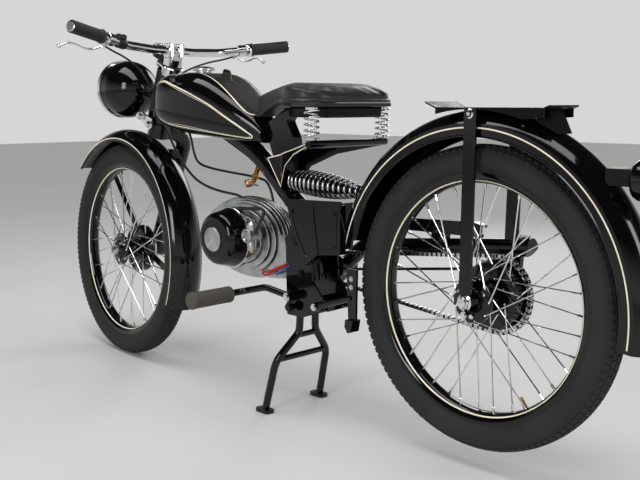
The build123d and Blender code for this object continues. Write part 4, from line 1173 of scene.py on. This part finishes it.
EGG_MID = (697, 402)
EGG_LONG = 162
EGG_HIGH = 100
EGG_BLUNT = 0.12
EGG_STEPS = 96
FIN_T = 2.6
CORE_SHARE = 0.88
FINS = [
    # y, share of the full egg
    (57, 0.60), (50.5, 0.74), (44, 0.84), (37, 0.91), (30, 0.955), (23, 0.985), (16, 1.0), (9, 1.0),
    (2, 0.985), (-5, 0.965), (-12, 0.935), (-19, 0.90), (-26, 0.86), (-33, 0.81), (-40, 0.755), (-47, 0.70),
    (-54, 0.635), (-61, 0.565), (-67, 0.49),
]


def egg(share, y):
    """The barrel's outline at a y, blunt at the rear and narrower ahead."""
    outline = []
    for step in range(EGG_STEPS):
        turn = 2 * pi * step / EGG_STEPS
        high = EGG_HIGH * sin(turn) * (1 - EGG_BLUNT * cos(turn))
        outline.append(spot(EGG_MID[0] + share * EGG_LONG * cos(turn), y, EGG_MID[1] + share * high))
    return outline


engine = Shape()
for y, share in FINS:
    engine.add(slab(egg(share, y - FIN_T / 2), CROSSWISE * (FIN_T * MM), bevel=0.9), ALLOY)
# The core between the fins is darker than the fins: painted shade in the recesses
core_rings = [egg(share * CORE_SHARE, y) for y, share in [(60, 0.58)] + FINS + [(-77, 0.42)]]
engine.add(skinned(core_rings, capped=True), SHADED_CORE_ALLOY)
engine.add(slab(egg(0.47, -78), CROSSWISE * (12 * MM), bevel=3), ALLOY)
engine.add(lathe([(-90, 0), (-90, 22), (-88, 26), (-80, 29), (-76, 32), (-76, 0)], spot(690, 0, 402),
                 CROSSWISE, 56), ALLOY)
gearbox = [spot(ahead, -39, z) for ahead, z in ((600, 420), (534, 420), (512, 320), (600, 312))]
engine.add(slab(gearbox, CROSSWISE * (78 * MM), bevel=5), ALLOY)
piece("finned_engine", engine, "frame", "cast_alloy", "engine", crease=40)

CRANK = spot(712, 0, EGG_MID[1])
dome_trim = Shape()
dome_trim.add(lathe([(58, 70), (58, 75.2), (59, 76), (63, 76), (64, 75.2), (64, 70)], CRANK, CROSSWISE, 96,
                    looped=True), CHROME)
piece("dome_trim", dome_trim, "frame", "chrome_plate")
disc = Shape()
disc_profile = [(112.4, 0), (112.4, 30), (116, 30), (117.6, 28.6)]
for number in range(7):
    radius = 27 - number * 3.4
    disc_profile += [(117.8, radius), (117.8, radius - 2.2), (117.2, radius - 2.5), (117.2, radius - 3.2)]
disc.add(lathe(disc_profile + [(117.6, 0)], CRANK, CROSSWISE, 96), ALLOY)
piece("turned_disc", disc, "frame", "cast_alloy", "cover_disc", crease=25)

CARBURETTOR_AHEAD = 612
CARBURETTOR_Y = 76
carb = Shape()
throat = spot(CARBURETTOR_AHEAD, 0, 418)
carb.add(lathe([(60, 0), (60, 19), (64, 19), (65, 15), (78, 14), (79, 16.5), (92, 17), (94, 16), (94, 13),
                (88, 10), (88, 0)], throat, CROSSWISE, 56), ALLOY)
stem = spot(CARBURETTOR_AHEAD, CARBURETTOR_Y, 0)
carb.add(lathe([(380, 0), (380, 7), (384, 8), (384, 12), (404, 12.4), (407, 11), (428, 11), (430, 13),
                (444, 13.4), (446, 12), (449, 8), (456, 5), (456, 0)], stem, UP, 48), ALLOY)
carb.add(six_sided(spot(CARBURETTOR_AHEAD, CARBURETTOR_Y, 376), UP, 12, 6), BRASS)
piece("carburettor_body", carb, "frame", "cast_alloy", "carburettor")

tap = Shape()
tap_foot = spot(660, 26, 540)
tap.add(tube([spot(664, 6, 578), tap_foot], 6, sides=16), BRASS)
tap.add(six_sided(spot(661, 21, 550), spot(664, 4, 580) - tap_foot, 15, 8), BRASS)
tap.add(lathe([(0, 0), (0, 6), (4, 7), (6, 9.6), (10, 10), (19, 9.4), (22, 7), (22.4, 0)], tap_foot,
              spot(672, 44, 534) - tap_foot, 28), COPPER)
tap.add(tube([spot(662, 30, 538), spot(650, 34, 534), spot(632, 38, 533)], [3.2, 2.8, 2.2], sides=10), STEEL)
piece("tap_with_knob", tap, "frame", "chrome_plate", "fuel_tap")

WIRE_R = 2.2
CONTROL_CABLE_R = 3.2
BAR_CABLE_R = 2.6
WIRES = [
    (RED_WIRE, [(616, 40, 322), (596, 46, 317), (572, 49, 330), (548, 47, 345), (524, 44, 352)]),
    (RED_WIRE, [(612, 44, 330), (590, 49, 325), (566, 51, 338), (519, 44, 358)]),
    (BLUE_WIRE, [(562, 42, 326), (546, 47, 332), (530, 48, 343), (512, 44, 354)]),
]
for number, (finish, points) in enumerate(WIRES):
    cable(f"engine_wire_{number + 1}", "frame", [spot(*point) for point in points], WIRE_R, finish)

CABLES = [
    [(1058, 28, 716), (1014, 32, 668), (974, 33, 610), (938, 33, 572), (891, 33, 536), (838, 33, 517),
     (772, 31, 507), (700, 27, 503), (690, 26.5, 486)],
    [(1058, -28, 716), (1012, -32, 674), (988, -33, 637), (979, -33, 598), (960, -33, 568),
     (908, -33, 558), (824, -33, 551), (718, -33, 545), (664, -32, 534), (650, -29, 482)],
]
for side, points, stands_for in zip(("left", "right"), CABLES, (["control_cables"], [])):
    cable(f"{side}_control_cable", "frame", [spot(*point) for point in points], CONTROL_CABLE_R, CABLE,
          *stands_for)


# Battery box, footrests and bolts

BOX_SIDE_Y = 68
BOX_BEAD = [(486, 494), (338, 499), (338, 414), (398, 405), (432, 382), (464, 436)]
box_trim = Shape()
strap = [spot(ahead, BOX_SIDE_Y, z) for ahead, z in ((424, 508), (410, 508), (393, 396), (407, 392))]
box_trim.add(slab(strap, CROSSWISE * (1.8 * MM), bevel=0.5), ENAMEL)
bead = [spot(ahead, BOX_SIDE_Y, z) for ahead, z in BOX_BEAD]
box_trim.add(tube(rounded(bead + bead[:2], 9)[1:-1], 2.0, sides=10), ENAMEL)
lid_edge = [spot(ahead, BOX_SIDE_Y + 1.5, z) for ahead, z in ((502, 513), (322, 519), (322, 503), (502, 497))]
box_trim.add(slab(lid_edge, CROSSWISE * (-4 * MM), bevel=0.8), ENAMEL)
piece("battery_box_trim", box_trim, "frame", "black_enamel")

treads = Shape()
for flank in (1, -1):
    profile = [(132, 8.4), (132, 17), (134, 19), (138, 19.6), (140, 19.6), (141, 18)]
    for number in range(11):
        start = 142 + number * 8.6
        profile += [(start, 18), (start + 0.8, 19.2), (start + 6.2, 19.2), (start + 7, 18)]
    profile += [(237, 18), (238, 20), (246, 20.4), (249, 18.6), (250, 14), (250, 0)]
    treads.add(lathe(profile, spot(626, 0, 281.5), CROSSWISE * flank, 56), WORN_RUBBER)
piece("footrest_sleeves", treads, "frame", "black_rubber", "footrest_rubbers")

LEFT = (1,)
RIGHT = (-1,)
BOTH = (1, -1)
BOLTS = [
    # body, place with y from the middle, sides, head radius, height, finish
    ("frame", (492, 44.5, 412), BOTH, 8, 6, SPRING),
    ("frame", (475, 44.5, 340), BOTH, 8, 6, SPRING),
    ("frame", (497, 60, 259), BOTH, 9.5, 7, SPRING),
    ("frame", (494, 72, 285), BOTH, 8, 5, CHROME),
    ("frame", (756, 78, 402), RIGHT, 5, 4, STEEL),
    ("frame", (632, 78, 402), RIGHT, 5, 4, STEEL),
    ("frame", (690, 78, 440), RIGHT, 5, 4, STEEL),
    ("frame", (690, 78, 364), RIGHT, 5, 4, STEEL),
    ("frame", (-3, 61.5, 322), LEFT, 5.5, 3, CHROME),
    ("frame", (410, 66, 273), LEFT, 6.5, 4, CHROME),
    ("frame", (478, BOX_SIDE_Y, 486), LEFT, 4, 3, SPRING),
    ("frame", (344, BOX_SIDE_Y, 490), LEFT, 4, 3, SPRING),
    ("frame", (344, BOX_SIDE_Y, 418), LEFT, 4, 3, SPRING),
    ("frame", (299, 60, 352), LEFT, 4.5, 3, STEEL),
    ("frame", (299, 60, 334), LEFT, 4.5, 3, STEEL),
    ("fork", (1078, 44, 671), BOTH, 8, 5, CHROME),
    ("fork", (1124, 44, 692), BOTH, 8, 5, CHROME),
    ("fork", (WHEELBASE, 50, FRONT_Z), LEFT, 11, 4, CHROME),
    ("fork", (WHEELBASE, 121, FRONT_Z), RIGHT, 11, 3, CHROME),
]
for body, place in (("frame", STRAIGHT), ("fork", STEERED)):
    kinds = {}
    for owner, (ahead, y, z), sides, radius, high, finish in BOLTS:
        if owner == body:
            seeds = [(spot(ahead, flank * y, z), CROSSWISE * flank) for flank in sides]
            kinds.setdefault((radius, high, finish), []).extend(seeds)
    heads = [grown(BOLT_SET, place=place, seeds=seeds, size=radius * MM, height=high * MM, finish=finish)
             for (radius, high, finish), seeds in kinds.items()]
    piece(f"{body}_bolt_heads", joined(heads), body, "chrome_plate")

axle = Shape()
axle.add(lathe([(68, 0), (68, 4), (66.5, 9), (64, 10.4), (60, 11), (56.5, 17), (56.5, 9), (51.5, 9),
                (51.5, 14), (41, 14), (41, 9), (-59.5, 9), (-59.5, 14), (-86, 14), (-86, 9), (-98, 9),
                (-98, 16), (-101, 16), (-101, 9), (-116, 8), (-116, 0)], REAR_HUB, CROSSWISE, 48), CHROME)
axle.add(six_sided(spot(0, 57, REAR_Z), CROSSWISE, 25, 6.5), CHROME)
axle.add(six_sided(spot(0, -101, REAR_Z), -CROSSWISE, 25, 9), CHROME)
axle.add(lathe([(56.5, 0), (56.5, 9.5), (58, 9.5), (60.5, 7), (61.8, 3), (62, 0)], spot(-3, 0, 710),
               CROSSWISE, 32), CHROME)
piece("rear_axle_and_nuts", axle, "frame", "bright_steel", "rear_axle")

CHAIN_PITCH = 12.7
REAR_CHAIN_R = 78.8
FRONT_CHAIN_R = 34.8
ENGINE_SPROCKET = (462, 345)
lean = atan2(ENGINE_SPROCKET[1] - REAR_Z, ENGINE_SPROCKET[0])
centres = Vector((ENGINE_SPROCKET[0], ENGINE_SPROCKET[1] - REAR_Z)).length
taper = atan2(REAR_CHAIN_R - FRONT_CHAIN_R, centres)
up_turn = lean + pi / 2 - taper
down_turn = lean - pi / 2 + taper
loop = []
for step in range(25):
    turn = up_turn + (2 * pi + down_turn - up_turn) * step / 24
    loop.append(spot(REAR_CHAIN_R * cos(turn), CHAIN_Y, REAR_Z + REAR_CHAIN_R * sin(turn)))
for step in range(13):
    turn = down_turn + (up_turn - down_turn) * step / 12
    loop.append(spot(ENGINE_SPROCKET[0] + FRONT_CHAIN_R * cos(turn), CHAIN_Y,
                     ENGINE_SPROCKET[1] + FRONT_CHAIN_R * sin(turn)))
seeds = []
left_over = 0.0
for here, there in zip(loop, loop[1:] + loop[:1]):
    length = (there - here).length / MM
    while left_over < length:
        seeds.append((here.lerp(there, left_over / length), (there - here).normalized()))
        left_over += CHAIN_PITCH
    left_over -= length
links = grown(CHAIN_LINKS, seeds=seeds, pitch=CHAIN_PITCH * MM, finish=STEEL)
piece("chain_links", links, "frame", "bright_steel", "chain")


# Tail lamp

tail = Shape()
tail_mid = spot(0, 0, 600)
tail.add(lathe([(-312, 0), (-312, 22), (-318, 33), (-326, 37), (-352, 38), (-354, 36)], tail_mid, AHEAD, 64),
         ENAMEL)
tail.add(lathe([(-352, 38), (-353, 38.6), (-358, 38.4), (-359.5, 35.5), (-358, 33), (-354, 34)], tail_mid,
               AHEAD, 64), CHROME)
tail.add(lathe([(-357, 33.6), (-361, 30), (-364.5, 20), (-366, 10), (-366.4, 0)], tail_mid, AHEAD, 64),
         RED_GLASS)
shank = [spot(-314, -22, 589), spot(-314, 22, 589), spot(-314, 22, 619), spot(-314, -22, 619)]
tail.add(slab(shank, AHEAD * (46 * MM), bevel=2), ENAMEL)
piece("tail_lamp_shell", tail, "frame", "black_enamel", "tail_lamp")


# Handlebar fittings

BAR_TIP = (942, 326, 899)
BAR_ELBOW = (1010, 141, 871)
BAR_FIT_R = 11.2
GRIP_LENGTH = 108
LEVER_SEAT = 134
LEVER_TIP = (1040, 312, 858)
LEVER_SWAY = [(0, 0), (0.12, -5), (0.28, -9), (0.45, -6), (0.62, 3), (0.78, 7), (0.9, 4), (1, -1)]
grips = Shape()
controls = Shape()
for flank in (1, -1):
    end = spot(BAR_TIP[0], flank * BAR_TIP[1], BAR_TIP[2])
    run = (end - spot(BAR_ELBOW[0], flank * BAR_ELBOW[1], BAR_ELBOW[2])).normalized()
    profile = [(-GRIP_LENGTH, 11.4), (-GRIP_LENGTH, 18), (-GRIP_LENGTH + 3, 18.4), (-GRIP_LENGTH + 6, 16)]
    for number in range(18):
        start = -GRIP_LENGTH + 8 + number * 5
        profile += [(start, 15.2), (start + 0.6, 15.9), (start + 4, 15.9), (start + 4.6, 15.2)]
    profile += [(-9, 16), (-4, 16), (-2.4, 15), (-2.4, 11.4)]
    grips.add(lathe(profile, end, run, 40), RUBBER)
    grips.add(lathe([(-3, 13.8), (-1.4, 13.6), (-0.4, 12), (-0.2, 0)], end, run, 40), CHROME)

    seat = end - run * (LEVER_SEAT * MM)
    clip = [(-12, BAR_FIT_R), (-12, 14.6), (-10.6, 15.8), (8.6, 15.8), (10, 14.6), (10, BAR_FIT_R)]
    controls.add(lathe(clip, seat, run, 40, looped=True), CHROME)
    if flank < 0:
        collar = [(11, BAR_FIT_R), (11, 16), (13, 17.4), (23, 17.4), (25, 16), (25, BAR_FIT_R)]
        controls.add(lathe(collar, seat, run, 40, looped=True), CHROME)
    pivot = seat + Vector((34, 0, -14)) * MM
    bracket = [seat + Vector((10, 0, -4)) * MM, seat + Vector((24, 0, -10)) * MM, pivot]
    controls.add(tube(bracket, [8, 7.4, 7], 16, flat=0.8), CHROME)
    controls.add(lathe([(-7, 0), (-7, 6.4), (-6, 7.2), (6, 7.2), (7, 6.4), (7, 0)], pivot, UP, 32), CHROME)
    tip = spot(LEVER_TIP[0], flank * LEVER_TIP[1], LEVER_TIP[2])
    blade = flowing([pivot.lerp(tip, share) + UP * (sway * MM) for share, sway in LEVER_SWAY], 6)
    widths = [5.8 - 1.6 * sin(pi * number / (len(blade) - 1)) for number in range(len(blade))]
    controls.add(tube(blade, widths, 14, flat=0.55, flat_dir=UP), CHROME)
    ball = [(-5.6 * cos(pi * step / 12), 5.6 * sin(pi * step / 12)) for step in range(13)]
    controls.add(lathe(ball, tip, run, 24), CHROME)
    route = [pivot - run * (6 * MM), pivot - run * (34 * MM) - UP * (6 * MM), spot(1052, flank * 130, 846),
             spot(1074, flank * 74, 822), spot(1094, flank * 36, 788), spot(1100, flank * 11, 756)]
    cable(f"{'left' if flank > 0 else 'right'}_bar_cable", "fork", [STEERED @ point for point in route],
          BAR_CABLE_R, CABLE)
    if flank > 0:
        drum = seat - run * (42 * MM)
        lift = (UP - run * UP.dot(run)).normalized()
        sleeve = [(-13, BAR_FIT_R), (-13, 13.4), (-11, 14.2), (11, 14.2), (13, 13.4), (13, BAR_FIT_R)]
        controls.add(lathe(sleeve, drum, run, 36, looped=True), CABLE)
        controls.add(lathe([(8, 0), (8, 13), (11, 14.4), (19, 14.4), (21, 13), (21.6, 0)], drum, lift, 36),
                     CABLE)
        controls.add(lathe([(21, 0), (21, 6), (24, 6), (25, 4.6), (25, 0)], drum, lift, 24), CHROME)
piece("ribbed_grips", grips, "fork", "black_rubber", "grips", place=STEERED)
piece("lever_set", controls, "fork", "chrome_plate", "levers", place=STEERED)

HEAD_TOP = steer_point + steer_axis * (66 * MM)
LEVEL_AHEAD = Vector((steer_axis.z, 0, -steer_axis.x))
clamp = Shape()
clamp.add(lathe([(2, 16.4), (2, 27), (4, 28), (24, 28), (26, 26), (26, 16.4)], HEAD_TOP, steer_axis, 56,
                looped=True), CHROME)
arm_foot = HEAD_TOP + steer_axis * (14 * MM)
clamp.add(tube([arm_foot, arm_foot + LEVEL_AHEAD * (66 * MM)], 12, sides=24), CHROME)
web = [spot(ahead, -20, z) for ahead, z in ((1006, 822), (1040, 822), (1030, 864), (1000, 864))]
clamp.add(slab(web, CROSSWISE * (40 * MM), bevel=4), CHROME)
bar_mid = spot(1014, 0, 866)
for flank in (-1, 1):
    cap = [(5, 11), (5, 17.4), (6.6, 19), (22.4, 19), (24, 17.4), (24, 11)]
    clamp.add(lathe(cap, bar_mid, CROSSWISE * flank, 40, looped=True), CHROME)
    for ahead in (998, 1030):
        clamp.add(six_sided(spot(ahead, flank * 14.5, 872), UP, 10, 11), CHROME)
        clamp.add(lathe([(-16, 0), (-16, 6.4), (6, 6.4), (6, 0)], spot(ahead, flank * 14.5, 866), UP, 20),
                  CHROME)
piece("bar_clamp_casting", clamp, "fork", "chrome_plate", "bar_clamp", place=STEERED)

DIAL_MARKS = 11
meter = Shape()
meter_foot = HEAD_TOP + steer_axis * (26.4 * MM) + LEVEL_AHEAD * (62 * MM)
meter.add(lathe([(0, 0), (0, 18), (4, 25), (9, 28.4), (24, 28.6)], meter_foot, steer_axis, 56), ENAMEL)
meter.add(lathe([(24, 28.6), (25, 29.8), (32, 29.8), (33.6, 28.4), (33.4, 26.4), (30, 25.4)], meter_foot,
                steer_axis, 56), CHROME)
meter.add(lathe([(30, 0), (30, 25.6)], meter_foot, steer_axis, 56), DIAL)
dial_mid = meter_foot + steer_axis * (30.3 * MM)
for number in range(DIAL_MARKS):
    turn = radians(220 - number * 26)
    arm = LEVEL_AHEAD * sin(turn) - CROSSWISE * cos(turn)
    meter.add(tube([dial_mid + arm * (19 * MM), dial_mid + arm * (24 * MM)], 0.7, sides=6), WHITE)
needle_foot = meter_foot + steer_axis * (30.8 * MM)
needle_run = (CROSSWISE + LEVEL_AHEAD * -0.6).normalized()
meter.add(tube([needle_foot, needle_foot + needle_run * (17 * MM)], [1.2, 0.4], sides=8), WHITE)
meter.add(lathe([(31.6, 26.2), (32.6, 20), (33.4, 10), (33.6, 0)], meter_foot, steer_axis, 56), GLASS)
piece("speedometer_dial", meter, "fork", "black_enamel", "speedometer", place=STEERED)

VALVE_TURN = -119
valve = Shape()
valve_arm = Vector((cos(radians(VALVE_TURN)), 0, sin(radians(VALVE_TURN))))
valve.add(lathe([(206, 0), (206, 2.6), (214, 2.8), (214, 3.6), (222, 3.6), (222, 4.6), (229.6, 4.6),
                 (229.6, 0)], Vector(), valve_arm, 20), BRASS)
piece("rear_valve", valve, "rear_wheel", "bright_steel", place=rear_place)


# Camera, light and floor

CAMERA_AT_M = (-1.6716, 1.5070, 0.7319)
CAMERA_YAW = 44.503
CAMERA_PITCH = -8.382
CAMERA_LENS = 52.7

camera = linked("camera", bpy.data.cameras.new("camera"))
yaw = radians(CAMERA_YAW)
pitch = radians(CAMERA_PITCH)
looking = Vector((cos(yaw) * cos(pitch), -sin(yaw) * cos(pitch), sin(pitch)))
camera.location = CAMERA_AT_M
camera.rotation_mode = "QUATERNION"
camera.rotation_quaternion = looking.to_track_quat("-Z", "Y")
camera.data.sensor_width = 36
camera.data.lens = CAMERA_LENS
camera.data.clip_end = 100
scene.camera = camera


def studio_floor():
    """Painted studio floor: pale grey and matt, so that it keeps a soft shadow."""
    made, tree, shader, coords = surface("Pale_studio_floor", "#C4C4C2", Roughness=0.8)
    mottle = node(tree, "ShaderNodeTexNoise", {"Vector": coords, "Scale": per_m(400), "Detail": 3.0})
    spread(tree, shader, "Roughness", mottle, 0.7, 0.9)
    return made


FLOOR_HALF_M = 14
floor_mesh = bpy.data.meshes.new("floor")
corners = [(x * FLOOR_HALF_M, y * FLOOR_HALF_M, 0) for x, y in ((-1, -1), (1, -1), (1, 1), (-1, 1))]
floor_mesh.from_pydata(corners, [], [(0, 1, 2, 3)])
floor_mesh.materials.append(studio_floor())
linked("floor", floor_mesh)

LIGHTS = [
    # name, place, aim, width, depth, power
    ("overhead", (0.0, 0.5, 2.8), (0, 0, 0.4), 2.8, 0.9, 34),
    ("left_window", (-0.9, 3.2, 1.7), (0, 0, 0.5), 0.8, 1.6, 34),
    ("rear_window", (-3.4, -0.6, 1.7), (-0.4, 0, 0.5), 0.7, 1.6, 24),
    ("right_fill", (1.2, -2.8, 1.9), (0, 0, 0.5), 1.2, 1.4, 22),
]
for name, place, aim, width, depth, power in LIGHTS:
    light = bpy.data.lights.new(name, "AREA")
    light.shape = "RECTANGLE"
    light.size = width
    light.size_y = depth
    light.energy = power
    holder = linked(name, light)
    holder.location = place
    holder.rotation_mode = "QUATERNION"
    holder.rotation_quaternion = (Vector(aim) - Vector(place)).to_track_quat("-Z", "Y")

world = bpy.data.worlds.new("studio")
scene.world = world
world.use_nodes = True
air = world.node_tree
# The room gets darker overhead, for reflections alone
BACKDROP = "#D6D6D6"
CEILING = "#262626"
ways = node(air, "ShaderNodeTexCoord")
heights = node(air, "ShaderNodeSeparateXYZ", {"Vector": ways.outputs["Generated"]})
room = node(air, "ShaderNodeValToRGB", {"Fac": heights.outputs["Z"]})
for stop, position, code in zip(room.color_ramp.elements, (0.1, 0.4), (BACKDROP, CEILING)):
    stop.position = position
    stop.color = linear(code)
rays = node(air, "ShaderNodeLightPath")
seen = node(air, "ShaderNodeMixRGB",
            {"Fac": rays.outputs["Is Glossy Ray"], "Color1": linear(BACKDROP), "Color2": room})
air.links.new(seen.outputs["Color"], air.nodes["Background"].inputs["Color"])
scene.view_settings.view_transform = "Standard"
